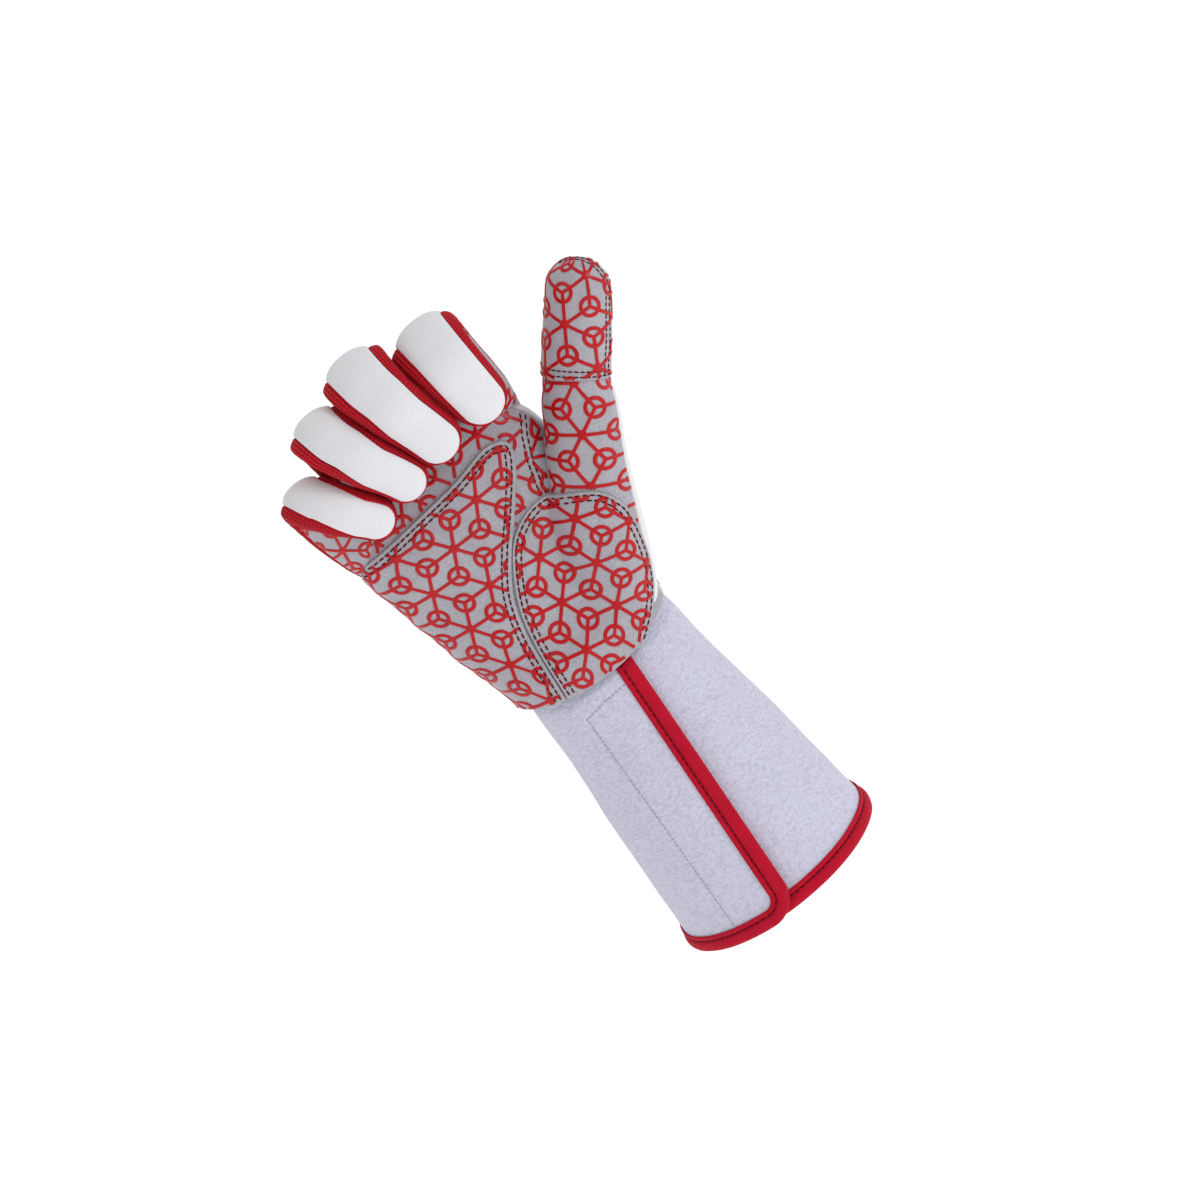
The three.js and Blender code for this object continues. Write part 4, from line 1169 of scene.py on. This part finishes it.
class GLOVE_OT_patches(bpy.types.Operator):
    """Patches: the palm patch and the domed patch over the ball of the thumb"""

    bl_idname = "glove.patches"
    bl_label = "Patches"

    SOFT = 5.0
    ACROSS, UP, STEP = (-28, 50), (113, 197), 0.6

    def thenar(self, roll):
        outline = smooth_outline(THENAR_PATCH_OUTLINE)
        x, z = np.meshgrid(np.arange(*self.ACROSS, self.STEP), np.arange(*self.UP, self.STEP),
                           indexing="ij")
        over = patch_front(x, z, LAYER_GAP + PATCH_WALL, self.SOFT)
        under = patch_front(x, z, LAYER_GAP, self.SOFT)
        rim = outline_distance(np.stack((x, z), axis=-1), outline)
        point = np.stack((x, over, z), axis=-1)
        relief = smoothstep(rim, 0, 6) * (0.3 * ripple(point, 14, 21) + 0.25)
        over = over - relief + rolled(rim, roll * 0.4) + seam_grooves(rim)
        outer, inner = np.stack((x, over, z), axis=-1), np.stack((x, under, z), axis=-1)
        uv = np.stack((x, z), axis=-1) / 100
        mesh = between("grip_thenar_patch", outer, inner, uv)
        block = prism("thenar_block", outline, -HALF_PALM, -THENAR_EDGE_DEPTH)
        return trimmed(mesh, ("INTERSECT", block), ("DIFFERENCE", hem_block()))

    def palm(self, roll):
        outline = smooth_outline(PALM_PATCH_OUTLINE, 0.5)
        along, turn, path = HAND.stations(0.8)
        polar = np.linspace(math.radians(78), math.pi, 90)[None] + 0 * along[:, None]
        along, turn = along[:, None], turn[:, None]
        skin = LAYER_GAP + PATCH_WALL
        base = HAND.point(along, turn, polar, skin)
        rim = outline_distance(base[..., [0, 2]], outline)
        relief = smoothstep(rim, 0, 6) * (0.35 * ripple(base, 18, 23) - 0.1)
        outer = HAND.point(along, turn, polar,
                           skin - rolled(rim, roll * 0.4) - seam_grooves(rim) + relief)
        inner = HAND.point(along, turn, polar, np.full(polar.shape, LAYER_GAP))
        rest = surface(stall_form("thumb_rest", THUMB, LAYER_GAP, 1.5))
        for grid, lift in ((outer, skin - LAYER_GAP), (inner, 0.0)):
            thumb = front_depth(rest, grid[..., 0], grid[..., 2]) - lift
            grid[..., 1] = soft_min(grid[..., 1], thumb, self.SOFT)
        uv = np.stack((polar * 40 * np.where(np.cos(turn) < 0, -1, 1),
                       path[:, None] + 0 * polar), axis=-1) / 100
        mesh = between("grip_palm_patch", outer, inner, uv, True, False)
        room = smooth_outline(THENAR_PATCH_OUTLINE, SEAM_GAP)
        cuts = [("INTERSECT", prism("palm_block", outline, -HALF_PALM, -SEAM_GAP)),
                ("DIFFERENCE", prism("thenar_room", room, -HALF_PALM, HAND_BACK_DEPTH)),
                ("DIFFERENCE", hem_block())]
        for name, stall in STALLS.items():
            cuts.append(("DIFFERENCE", stall_form(f"{name}_room", stall, SEAM_GAP)))
        return trimmed(mesh, *cuts)

    def execute(self, context):
        roll = setting("edge_roll")
        place_piece(self.thenar(roll), "grip", "grip_leather", "thenar_patch")
        place_piece(self.palm(roll), "grip", "grip_leather", "palm_patch")
        return {"FINISHED"}


def cap_dip(along, turn, polar):
    """How far the cap's lower corner on the fingers' side is drawn in."""
    depth, share = 0.6, 0.14
    low = 1 - smoothstep(along, CAP_START, CAP_START + share)
    return depth * low * by_side((0, 1), turn) * np.sin(polar)


class GLOVE_OT_thumb(bpy.types.Operator):
    """Thumb: its white back, grey front and the cap over its tip"""

    bl_idname = "glove.thumb"
    bl_label = "Thumb"

    def execute(self, context):
        def relief(base, rim, along, turn, polar):
            return smoothstep(rim, 0, 4) * (0.35 * ripple(base, 13, 31) - 0.05)

        def cap_relief(base, rim, along, turn, polar):
            return relief(base, rim, along, turn, polar) - cap_dip(along, turn, polar)

        roll = setting("edge_roll")
        room = [("DIFFERENCE", stall_form("hand_room", HAND, SEAM_GAP))]
        back = panel("suede_thumb_back", THUMB, 0, HAND_WALL, relief, roll=roll)
        front = panel("grip_thumb_front", THUMB, 1, HAND_WALL, relief, roll=roll)
        cap = panel("grip_thumb_cap", THUMB, 1, PATCH_WALL, cap_relief, LAYER_GAP + PATCH_WALL,
                    CAP_START, math.radians(CAP_SEAM_STEP), roll=roll, rim_ends=True)
        place_piece(trimmed(back, *room), "white", "white_suede", "thumb_back")
        place_piece(trimmed(front, *room), "grip", "grip_leather", "thumb_front")
        place_piece(cap, "grip", "grip_leather", "thumb_cap")
        return {"FINISHED"}


def finger_relief(name, part):
    """Relief of a finger's strip, knit side or grip side."""
    seed = 40 + 3 * list(STALLS).index(name)
    bend = BENDS[name]

    def relief(base, rim, along, turn, polar):
        soft = smoothstep(rim, 0, 4)
        if part == "back":
            return soft * (0.22 * ripple(base, 11, seed) + 0.15)
        near = np.exp(-(((along - bend) / 0.16) ** 2))
        inner = smoothstep(polar, math.radians(70), math.radians(130))
        length = STALLS[name].length * along + 2.2 * ripple(base, 9, seed + 1)
        folds = near * inner * (0.5 * np.sin(length * math.tau / 5.5) - 0.35)
        if part == "gusset":
            puff = np.exp(-(((along - bend - 0.03) / 0.17) ** 2)) * (1 - inner)
            folds = folds + soft * puff * by_side(KNIT_SWELL[name], turn)
        return soft * (0.3 * ripple(base, 8, seed + 2) - 0.1) + folds

    return relief


class GLOVE_OT_fingers(bpy.types.Operator):
    """Fingers: a white strip, a knit side round the tip and a grip side for each"""

    bl_idname = "glove.fingers"
    bl_label = "Fingers"

    def execute(self, context):
        parts = (("back", "suede", "white", "white_suede"),
                 ("gusset", "knit", "knit", "red_knit"),
                 ("palm", "grip", "grip", "grip_leather"))
        hand_room = stall_form("hand_room", HAND, SEAM_GAP)
        before = None
        for name, stall in STALLS.items():
            cuts = [("DIFFERENCE", hand_room)]
            if before is not None:
                cuts.append(("DIFFERENCE", before))
            for index, (part, word, finish, slot) in enumerate(parts):
                made = panel(f"{word}_{name}_{part}", stall, index, FINGER_WALL,
                             finger_relief(name, part), roll=setting("edge_roll"))
                place_piece(trimmed(made, *cuts), finish, slot, f"{name}_{part}")
            before = stall_form(f"{name}_room", stall, SEAM_GAP)
        return {"FINISHED"}


# Print

PRINT_LATTICES = {
    "palm_patch": dict(hub=(-18.0, 176.9), up=(0.2, 20.9), across=(19.8, 9.8)),
    "palm_panel": dict(hub=(19.2, 226.7), up=(0.2, 20.9), across=(19.8, 9.8)),
    "thenar": dict(hub=(22.7, 158.6), up=(4.6, 19.4), across=(20.6, 5.3)),
    "thumb": dict(hub=(50.7, 202.9), up=(10.05, 18.25), across=(22.0, -2.2)),
    "cap": dict(hub=(72.9, 242.0), up=(1.05, 22.0), across=(19.6, 10.1)),
    "finger": dict(hub=(2.0, 12.0), up=(4.0, 20.5), across=(20.6, 5.0)),
}


CROTCH_SEAM = np.array([(44.5, 226.0), (38.5, 220.0), (33.0, 213.0), (28.5, 204.5),
                        (25.5, 196.0), (23.0, 187.0)])


def palm_rays(flat):
    """Rays into the palm from a length across it and a height."""
    polar = np.linspace(0, math.pi / 2, 300)
    x, y = HALF_PALM * np.sin(polar) ** HAND_POWER, -HAND_PALM_DEPTH * np.cos(polar) ** HAND_POWER
    run = np.concatenate(([0], np.cumsum(np.hypot(np.diff(x), np.diff(y)))))
    across, z = flat[..., 0] - PALM_SHIFT, flat[..., 1]
    aside, deep = np.interp(np.abs(across), run, x), np.interp(np.abs(across), run, y)
    slope = np.gradient(y, run), np.gradient(x, run)
    out_x = np.interp(np.abs(across), run, slope[0])
    out_y = -np.interp(np.abs(across), run, slope[1])
    along = np.clip((z - HAND_START) / (PALM_LENGTH - KNUCKLE_ARCH), 0, 1)
    narrow = HAND.value("half", along) / HALF_PALM
    thick = HAND.value("palm", along) / HAND_PALM_DEPTH
    sign = np.sign(across)
    middle = HAND.value("centre", along)[..., 0]
    place = np.stack((middle + sign * aside * narrow, deep * thick, z), axis=-1)
    outward = unit(np.stack((sign * out_x, out_y, 0 * z), axis=-1))
    near = (np.abs(across) < run[-1]) & (z > HAND_START - 6) & (z < HAND_START + PALM_LENGTH + 6)
    return place + outward * 9, -outward, near


def front_rays(flat):
    """Rays straight into the palm's side."""
    origin = np.stack((flat[..., 0], np.full(flat.shape[:-1], -120.0), flat[..., 1]), axis=-1)
    return origin, np.broadcast_to(Y_AXIS, origin.shape), np.full(flat.shape[:-1], True)


def round_rays(stall, along, over, across, front, radius, height):
    """Rays into a stall from its middle line, wrapped round it and over its end."""
    centre, tangent = stall.value("centre", along), stall.value("tangent", along)
    front = unit(front - tangent * np.sum(front * tangent, axis=-1, keepdims=True))
    aside = np.cross(front, tangent)
    turn, tip = (across / radius)[..., None], (over / radius)[..., None]
    outward = np.cos(tip) * (front * np.cos(turn) + aside * np.sin(turn)) + tangent * np.sin(tip)
    near = (np.abs(turn) < 1.9) & (tip < 1.35)
    return centre + outward * (radius + height), -outward, near[..., 0]


def thumb_rays(flat):
    """Rays into the thumb, wrapped round it from its middle line as the palm's side shows it."""
    samples = np.linspace(0, 1, 241)
    middle = THUMB.value("centre", samples)[:, [0, 2]]
    gap = flat[..., None, :] - middle
    nearest = np.argmin(np.sum(gap**2, axis=-1), axis=-1)
    along = samples[nearest]
    way = unit(THUMB.value("tangent", along)[..., [0, 2]])
    offset = np.take_along_axis(gap, nearest[..., None, None], axis=-2)[..., 0, :]
    pace = np.linalg.norm(np.gradient(middle, samples, axis=0), axis=1)[nearest]
    along = np.clip(along + np.sum(offset * way, axis=-1) / pace, 0, 1)
    across = offset[..., 1] * way[..., 0] - offset[..., 0] * way[..., 1]
    over = np.where(nearest == len(samples) - 1, np.sum(offset * way, axis=-1), 0)
    front = np.broadcast_to(-Y_AXIS, (*along.shape, 3))
    origins, ways, near = round_rays(THUMB, along, over, across, front, THUMB_WIDTH / 2, 12)
    return origins, ways, near & (nearest > 4)


def finger_rays(stall):
    """Rays into a finger's grip side from a length across it and along it."""
    def rays(flat):
        run = flat[..., 1]
        along = np.interp(run, stall.run, np.linspace(0, 1, stall.SAMPLES))
        over = np.maximum(run - stall.length, 0)
        front = -stall.value("normal", along)
        origins, ways, near = round_rays(stall, along, over, flat[..., 0], front, 10.0, 2.5)
        return origins, ways, near & (run > 0)

    return rays


class Print:
    """The raised print of one area: lines laid on a surface by the area's own rays."""

    PROFILE = ((-0.5, -0.3), (-0.4, 0.72), (0.0, 1.0), (0.4, 0.72), (0.5, -0.3))

    def __init__(self, tree, cover, rays, keep):
        self.tree, self.cover, self.rays, self.keep = tree, cover, rays, keep
        self.points, self.faces, self.count = [], [], 0

    def line(self, path, width, closed=False):
        """Lays a line of the print along a path on the flat pattern."""
        profile = np.array(self.PROFILE)
        ahead, behind = np.roll(path, -1, axis=0), np.roll(path, 1, axis=0)
        if not closed:
            ahead[-1], behind[0] = path[-1], path[0]
        along = unit(ahead - behind)
        aside = np.stack((along[:, 1], -along[:, 0]), axis=-1)
        flat = path[:, None] + aside[:, None] * (profile[:, 0] * width)[:, None]
        origins, ways, near = self.rays(flat)
        if not near.all(axis=1).any():
            return
        places, normals, met = cast(self.tree, origins, ways, 150)
        met &= near & self.keep(places)
        if not met.all(axis=1).any():
            return
        reach = float(np.linalg.norm(places - origins, axis=-1)[met].max())
        _, _, covered = cast(self.cover, places - ways * 0.3, -ways, reach)
        smooth = np.linalg.norm(np.diff(places, axis=1), axis=-1).max(axis=1) < width * 0.9
        good = (met & ~covered).all(axis=1) & smooth
        facing = np.sum(normals * ways, axis=-1, keepdims=True)
        normals = np.where(facing > 0, -normals, normals)
        points = places + normals * (profile[:, 1] * setting("print_height"))[:, None]
        self.join(points, good, closed)

    def join(self, points, good, closed):
        rows, columns = points.shape[:2]
        base = self.count
        self.points.append(points.reshape(-1, 3))
        self.count += rows * columns
        last = rows if closed else rows - 1
        linked = [good[i] and good[(i + 1) % rows] for i in range(last)]
        steps = np.linalg.norm(np.roll(points, -1, axis=0) - points, axis=-1).max(axis=1)
        linked = [ok and steps[i] < 2.6 for i, ok in enumerate(linked)]
        for i, ok in enumerate(linked):
            if not ok:
                continue
            a, b = base + i * columns, base + ((i + 1) % rows) * columns
            for j in range(columns):
                k = (j + 1) % columns
                self.faces.append([a + j, a + k, b + k, b + j])
            before = linked[i - 1] if i > 0 or closed else False
            after = linked[(i + 1) % rows] if i + 1 < last or closed else False
            if not before:
                self.faces.append([a + j for j in range(columns)][::-1])
            if not after:
                self.faces.append([b + j for j in range(columns)])

    def lattice(self, hub, up, across, reach):
        """Rings at the three-way nodes, and lines from them to the six-way hubs."""
        hub, up, across = (np.array(v) for v in (hub, up, across))
        width, ring = setting("print_width"), setting("ring_radius")
        angles = np.linspace(0, math.tau, 29)[:-1]
        circle = np.stack((np.cos(angles), np.sin(angles)), axis=-1) * ring
        for i in range(-reach, reach + 1):
            for j in range(-reach, reach + 1):
                corner = hub + i * up + j * across
                sides = (corner, corner + up, corner + across, corner + up + across)
                for trio in (sides[:3], sides[1:]):
                    middle = sum(trio) / 3
                    self.line(middle + circle, width, closed=True)
                    for end in trio:
                        share = np.linspace(0, 1, 13)[:, None]
                        self.line(middle + (end - middle) * share, width * 0.9)
                self.line(corner + circle[::2] * 0.25, width * 1.35, closed=True)

    def mesh(self, name):
        return build_mesh(name, np.concatenate(self.points), self.faces)


def in_patch(rows, grow):
    """Test for points over a patch, grown or shrunk."""
    outline = smooth_outline(rows, grow)
    return lambda places: inside_outline(places[..., [0, 2]], outline)


def everywhere(places):
    """Keeps every point of the print."""
    return np.full(places.shape[:-1], True)


def beyond_seam(places):
    """Whether points of the palm are on the thumb's side of the seam at the crotch."""
    seam = np.interp(places[..., 2], CROTCH_SEAM[::-1, 1], CROTCH_SEAM[::-1, 0])
    return places[..., 0] > seam


class GLOVE_OT_print(bpy.types.Operator):
    """Print: raised rings and lines on every grip panel"""

    bl_idname = "glove.print"
    bl_label = "Print"

    def execute(self, context):
        cover = surface(*(SURFACES[name] for name in SURFACES if "cuff" not in name))
        in_palm, over_thenar = in_patch(PALM_PATCH_OUTLINE, -0.5), in_patch(THENAR_PATCH_OUTLINE, 1)
        in_thenar = in_patch(THENAR_PATCH_OUTLINE, -0.5)
        areas = [
            ("palm_patch", "grip_palm_patch", palm_rays, 4,
             lambda p: in_palm(p) & ~over_thenar(p)),
            ("palm_panel", "grip_palm_panel", palm_rays, 5, lambda p: ~beyond_seam(p)),
            ("thumb_web", "grip_palm_panel", front_rays, 4, beyond_seam),
            ("thenar", "grip_thenar_patch", front_rays, 3, in_thenar),
            ("thumb", "grip_thumb_front", thumb_rays, 4, everywhere),
            ("cap", "grip_thumb_cap", thumb_rays, 2, everywhere),
        ]
        for key, target, rays, reach, keep in areas:
            area = Print(surface(SURFACES[target]), cover, rays, keep)
            area.lattice(**PRINT_LATTICES[key.removesuffix("_web")], reach=reach)
            place_piece(area.mesh(f"print_{key}"), "print", "grip_leather")
        for name, stall in STALLS.items():
            area = Print(surface(SURFACES[f"grip_{name}_palm"]), cover, finger_rays(stall),
                         everywhere)
            area.lattice(**PRINT_LATTICES["finger"], reach=4)
            place_piece(area.mesh(f"print_{name}"), "print", "grip_leather")
        return {"FINISHED"}


# Stitches

def evenly(path, pitch):
    """Points at an even pitch along a path, with the way it runs at each."""
    steps = np.linalg.norm(np.diff(path, axis=0), axis=1)
    run = np.concatenate(([0], np.cumsum(steps)))
    count = max(2, int(run[-1] / pitch))
    at = (np.arange(count) + 0.5) * run[-1] / count
    points = np.stack([np.interp(at, run, path[:, i]) for i in range(path.shape[1])], axis=-1)
    before = np.stack([np.interp(at - 0.5, run, path[:, i]) for i in range(path.shape[1])], -1)
    after = np.stack([np.interp(at + 0.5, run, path[:, i]) for i in range(path.shape[1])], -1)
    return points, unit(after - before)


class Stitches:
    """Rows of single stitches, each a small twisted run of thread lying on the cloth."""

    PROFILE = ((-0.5, 0.1, -0.5), (-0.46, 0.6, -0.1), (-0.25, 1.0, 0.25), (0.0, 1.05, 0.35),
               (0.25, 1.0, 0.25), (0.46, 0.6, -0.1), (0.5, 0.1, -0.5))
    SIDES = 7

    def __init__(self):
        self.points, self.faces, self.uvs, self.count = [], [], [], 0

    def row(self, places, ways, normals, good=None, size=1.0):
        """Adds a stitch at each place."""
        aside = unit(np.cross(ways, normals))
        normals = np.cross(aside, ways)
        profile = np.array(self.PROFILE)
        length, radius = setting("stitch_length") * size, setting("thread_width") / 2 * size
        angle = np.linspace(0, math.tau, self.SIDES + 1)[:-1]
        for i, place in enumerate(places):
            if good is not None and not good[i]:
                continue
            middle = place + ways[i] * (profile[:, 0] * length)[:, None] \
                + normals[i] * (profile[:, 2] * radius)[:, None]
            ring = np.cos(angle)[:, None] * aside[i] + np.sin(angle)[:, None] * normals[i]
            self.points.append((middle[:, None] + ring[None] * (profile[:, 1] * radius)
                                [:, None, None]).reshape(-1, 3))
            rows = len(profile)
            faces = grid_faces(rows, self.SIDES, self.count, wrap=True)
            faces.append([self.count + k for k in range(self.SIDES)][::-1])
            last = self.count + (rows - 1) * self.SIDES
            faces.append([last + k for k in range(self.SIDES)])
            self.faces.extend(faces)
            u = np.broadcast_to(angle / math.tau, (rows, self.SIDES))
            v = np.broadcast_to((profile[:, 0] * 3.0)[:, None], (rows, self.SIDES))
            self.uvs.append(np.stack((u, v), axis=-1).reshape(-1, 2))
            self.count += rows * self.SIDES

    def over(self, tree, path, size=1.0, keep=None):
        """Sews along a path in X and Z on the palm's side of a surface."""
        pitch = (setting("stitch_length") + setting("stitch_gap")) * size
        flat, way = evenly(path, pitch)
        origins, ways, _ = front_rays(flat)
        places, normals, met = cast(tree, origins, ways)
        ahead, _, met_ahead = cast(tree, front_rays(flat + way * 0.4)[0], ways)
        run = unit(np.where((met & met_ahead)[:, None], ahead - places, X_AXIS))
        steep = np.abs(run[:, 1]) > 0.93
        good = met & met_ahead & ~steep
        if keep is not None:
            good &= keep(places)
        self.row(places, run, normals, good, size)

    def mesh(self, name):
        return build_mesh(name, np.concatenate(self.points), self.faces,
                          np.concatenate(self.uvs))


class GLOVE_OT_stitching(bpy.types.Operator):
    """Stitching: double rows on the patches, cap and thumb, the back's hem, the cuff's rows"""

    bl_idname = "glove.stitching"
    bl_label = "Stitching"

    def patches(self):
        sewn, gap = Stitches(), setting("row_spacing")
        thenar_top, palm_top = (surface(SURFACES[f"grip_{name}_patch"])
                                for name in ("thenar", "palm"))
        for row in range(2):
            inset = -(PATCH_ROW + row * gap)
            sewn.over(thenar_top, smooth_outline(THENAR_PATCH_OUTLINE, inset, low=None))
            sewn.over(palm_top, smooth_outline(PALM_PATCH_OUTLINE, inset, low=None)[9:])
        hidden = in_patch(THENAR_PATCH_OUTLINE, 0.5)
        along = unit(np.gradient(CROTCH_SEAM, axis=0))
        aside = np.stack((along[:, 1], -along[:, 0]), axis=-1)
        both = surface(SURFACES["grip_palm_panel"], SURFACES["grip_thumb_front"])
        for shift in (-1.1, 1.1):
            sewn.over(both, CROTCH_SEAM + aside * shift, keep=lambda p: ~hidden(p))
        place_piece(sewn.mesh("stitches_palm"), "thread", "grip_leather")

    def cap(self):
        """Rows along the cap's lower edge and along its seam round the tip."""
        sewn, tree = Stitches(), surface(SURFACES["grip_thumb_cap"])
        thumb_half, first, count = 12.0, 107, 30
        for row in range(2):
            inset = CAP_ROW + row * setting("row_spacing")
            along, turn, _ = THUMB.stations(0.8, CAP_START + 0.01)
            shown = np.cos(turn) > -0.6
            along, turn = along[shown], turn[shown]
            edge = thumb_seam(along, turn) + math.radians(CAP_SEAM_STEP)
            edge = edge + by_side((inset + 1.5, inset * 0.6), turn) / thumb_half
            self.follow(sewn, tree, THUMB, along, turn, edge, CAP_STITCH)
            polar = np.radians(np.linspace(first, 180, count))
            polar = np.concatenate((polar, polar[::-1]))
            start = np.full(2 * count, CAP_START + inset / THUMB.length)
            sides = np.repeat([0.0, math.pi], count)
            self.follow(sewn, tree, THUMB, start, sides, polar, CAP_STITCH)
        place_piece(sewn.mesh("stitches_cap"), "thread", "grip_leather")

    def follow(self, sewn, tree, stall, along, turn, polar, size):
        """Sews along a line round a stall, on the surface that lies there."""
        outer, inner = (stall.point(along, turn, polar, out + 0 * along) for out in (6, -3))
        pitch = (setting("stitch_length") + setting("stitch_gap")) * size
        both, _ = evenly(np.concatenate((outer, inner), axis=1), pitch * math.sqrt(2))
        ways = unit(both[:, 3:] - both[:, :3])
        places, normals, met = cast(tree, both[:, :3], ways, 12)
        facing = np.sum(normals * ways, axis=-1, keepdims=True)
        steps = np.gradient(places, axis=0)
        met &= np.linalg.norm(steps, axis=1) < pitch * 1.5
        sewn.row(places, unit(steps), np.where(facing > 0, -normals, normals), met, size)

    def back(self):
        """Two rows of pale stitches along the hem of the hand's back."""
        sewn, tree = Stitches(), surface(SURFACES["suede_hand_back"])
        half = WRIST_WIDTH / 2 + WRIST_EASE + HAND_WALL
        left, right = np.linspace(82, 0, 40), np.linspace(0, 100, 48)
        polar = np.radians(np.concatenate((left, right)))
        turn, start = np.repeat([math.pi, 0.0], [len(left), len(right)]), np.zeros(len(polar))
        across = HAND.point(start, turn, polar, start)[:, 0] / half
        for rise in (HEM_ROW, HEM_ROW + setting("row_spacing")):
            along = (HEM_RISE * across**2 + rise) / (PALM_LENGTH - KNUCKLE_ARCH)
            self.follow(sewn, tree, HAND, along, turn, polar, HEM_STITCH)
        place_piece(sewn.mesh("stitches_back"), "cuff_thread", "white_suede")

    def cuff(self):
        """The box of grey stitches that holds the hook tape on the outer lap."""
        sewn, size = Stitches(), CUFF_STITCH
        low, wide, top = 0.6, 20.0, CUFF_LENGTH * 0.84
        path = np.array([(BINDING_WIDTH, top + 3), (BINDING_WIDTH + wide * 0.5, top + 2.2),
                         (BINDING_WIDTH + wide, top), (BINDING_WIDTH + wide - 1, top * 0.5),
                         (BINDING_WIDTH + wide - 1.5, BINDING_WIDTH + low)])
        flat, _ = evenly(path, (setting("stitch_length") + setting("stitch_gap")) * size)
        self.on_cuff(sewn, flat, 0.0, size)
        place_piece(sewn.mesh("stitches_cuff"), "cuff_thread", "cuff_cloth")

    def on_cuff(self, sewn, flat, out, size):
        across, up = flat[:, 0], flat[:, 1]
        relief = cuff_relief(across, up)
        place = cuff_point(across, up, out + relief)
        normal = unit(cuff_point(across, up, out + relief + 1) - place)
        run = unit(np.gradient(place, axis=0))
        sewn.row(place, run, normal, None, size)

    def binding(self):
        """The row sunk in the tape's groove."""
        sewn, span = Stitches(), float(cuff_span(0.0))
        inset, corner = BINDING_WIDTH * 0.66, FLAP_CORNER - BINDING_WIDTH * 0.66
        turn = np.linspace(0, math.pi / 2, 12)
        bend = np.stack((FLAP_CORNER - corner * np.cos(turn),
                         FLAP_CORNER - corner * np.sin(turn)), axis=-1)
        path = np.vstack(([[inset, HAND_START]], bend, [[span, inset]]))
        flat, _ = evenly(path, setting("stitch_length") + setting("stitch_gap"))
        self.on_cuff(sewn, flat, LAYER_GAP + BINDING_WALL - 0.4, 1.0)
        place_piece(sewn.mesh("stitches_binding"), "thread", "binding_tape")

    def execute(self, context):
        self.patches()
        self.cap()
        self.back()
        self.cuff()
        self.binding()
        return {"FINISHED"}


# Stage

class GLOVE_OT_stage(bpy.types.Operator):
    """Stage: pale studio paper, soft lights and the camera"""

    bl_idname = "glove.stage"
    bl_label = "Stage"

    PAPER_REACH, PAPER_LEVEL, SKY = 30.0, -0.6, 0.6
    LIT_POINT, SEEN_POINT, DISTANCE = (0.014, 0.0, 0.135), (0.0143, 0.0, 0.1369), 4.8
    LAMPS = (("key", (1.7, -1.3, 1.0), 0.7, 9.5), ("fill", (-0.7, -1.2, 2.0), 1.4, 5),
             ("back", (0.4, 1.4, 1.4), 1.2, 4))

    def lamp(self, name, place, size, power):
        """A round soft light that shines on the glove."""
        light = bpy.data.lights.new(name, "AREA")
        light.shape, light.size, light.energy = "DISK", size, power
        lamp = bpy.data.objects.new(name, light)
        lamp.location = place
        way = Vector(self.LIT_POINT) - Vector(place)
        lamp.rotation_euler = way.to_track_quat("-Z", "Y").to_euler()
        bpy.context.scene.collection.objects.link(lamp)

    def execute(self, context):
        scene = context.scene
        mesh = bpy.data.meshes.new("studio_paper")
        far, low = self.PAPER_REACH, self.PAPER_LEVEL
        mesh.from_pydata([(-far, -far, low), (far, -far, low), (far, far, low),
                          (-far, far, low)], [], [[0, 1, 2, 3]])
        mesh.materials.append(finish_of("floor"))
        paper = bpy.data.objects.new("studio_paper", mesh)
        scene.collection.objects.link(paper)

        for name, place, size, power in self.LAMPS:
            self.lamp(name, place, size, power)
        world = bpy.data.worlds.new("studio")
        world.use_nodes = True
        background = world.node_tree.nodes["Background"]
        background.inputs["Color"].default_value = (1.0, 1.0, 1.0, 1.0)
        background.inputs["Strength"].default_value = self.SKY
        scene.world = world

        right = Vector((0.768, -0.64 * 0.309, -0.64 * 0.951))
        back = Vector((0.0, -0.951, 0.309)).normalized()
        up = back.cross(right).normalized()
        right = up.cross(back).normalized()
        lens = bpy.data.cameras.new("camera")
        lens.lens, lens.sensor_width = 360.0, 36.0
        camera = bpy.data.objects.new("camera", lens)
        turn = Matrix((right, up, back)).transposed().to_4x4()
        place = Vector(self.SEEN_POINT) + back * self.DISTANCE
        camera.matrix_world = Matrix.Translation(place) @ turn
        scene.collection.objects.link(camera)
        scene.camera = camera
        scene.view_settings.view_transform = "Standard"
        return {"FINISHED"}


# Add-on

PIECES = (GLOVE_OT_cuff, GLOVE_OT_binding, GLOVE_OT_closure, GLOVE_OT_hand, GLOVE_OT_patches,
          GLOVE_OT_thumb, GLOVE_OT_fingers, GLOVE_OT_print, GLOVE_OT_stitching,
          GLOVE_OT_stage)


class GLOVE_PT_panel(bpy.types.Panel):
    """Lists the glove's pieces and settings"""

    bl_idname = "GLOVE_PT_panel"
    bl_label = "Fencing glove"
    bl_space_type = "VIEW_3D"
    bl_region_type = "UI"
    bl_category = "Glove"

    def draw(self, context):
        for piece in PIECES:
            self.layout.operator(piece.bl_idname)
        for group in (context.scene.glove_sizes, context.scene.glove_colours):
            for name in type(group).__annotations__:
                self.layout.prop(group, name)


CLASSES = (GloveSizes, GloveColours, *PIECES, GLOVE_PT_panel)


def register():
    for cls in CLASSES:
        bpy.utils.register_class(cls)
    bpy.types.Scene.glove_sizes = bpy.props.PointerProperty(type=GloveSizes)
    bpy.types.Scene.glove_colours = bpy.props.PointerProperty(type=GloveColours)


def unregister():
    del bpy.types.Scene.glove_colours
    del bpy.types.Scene.glove_sizes
    for cls in reversed(CLASSES):
        bpy.utils.unregister_class(cls)


def main():
    register()
    for piece in PIECES:
        group, name = piece.bl_idname.split(".")
        getattr(getattr(bpy.ops, group), name)()


if __name__ == "__main__":
    main()
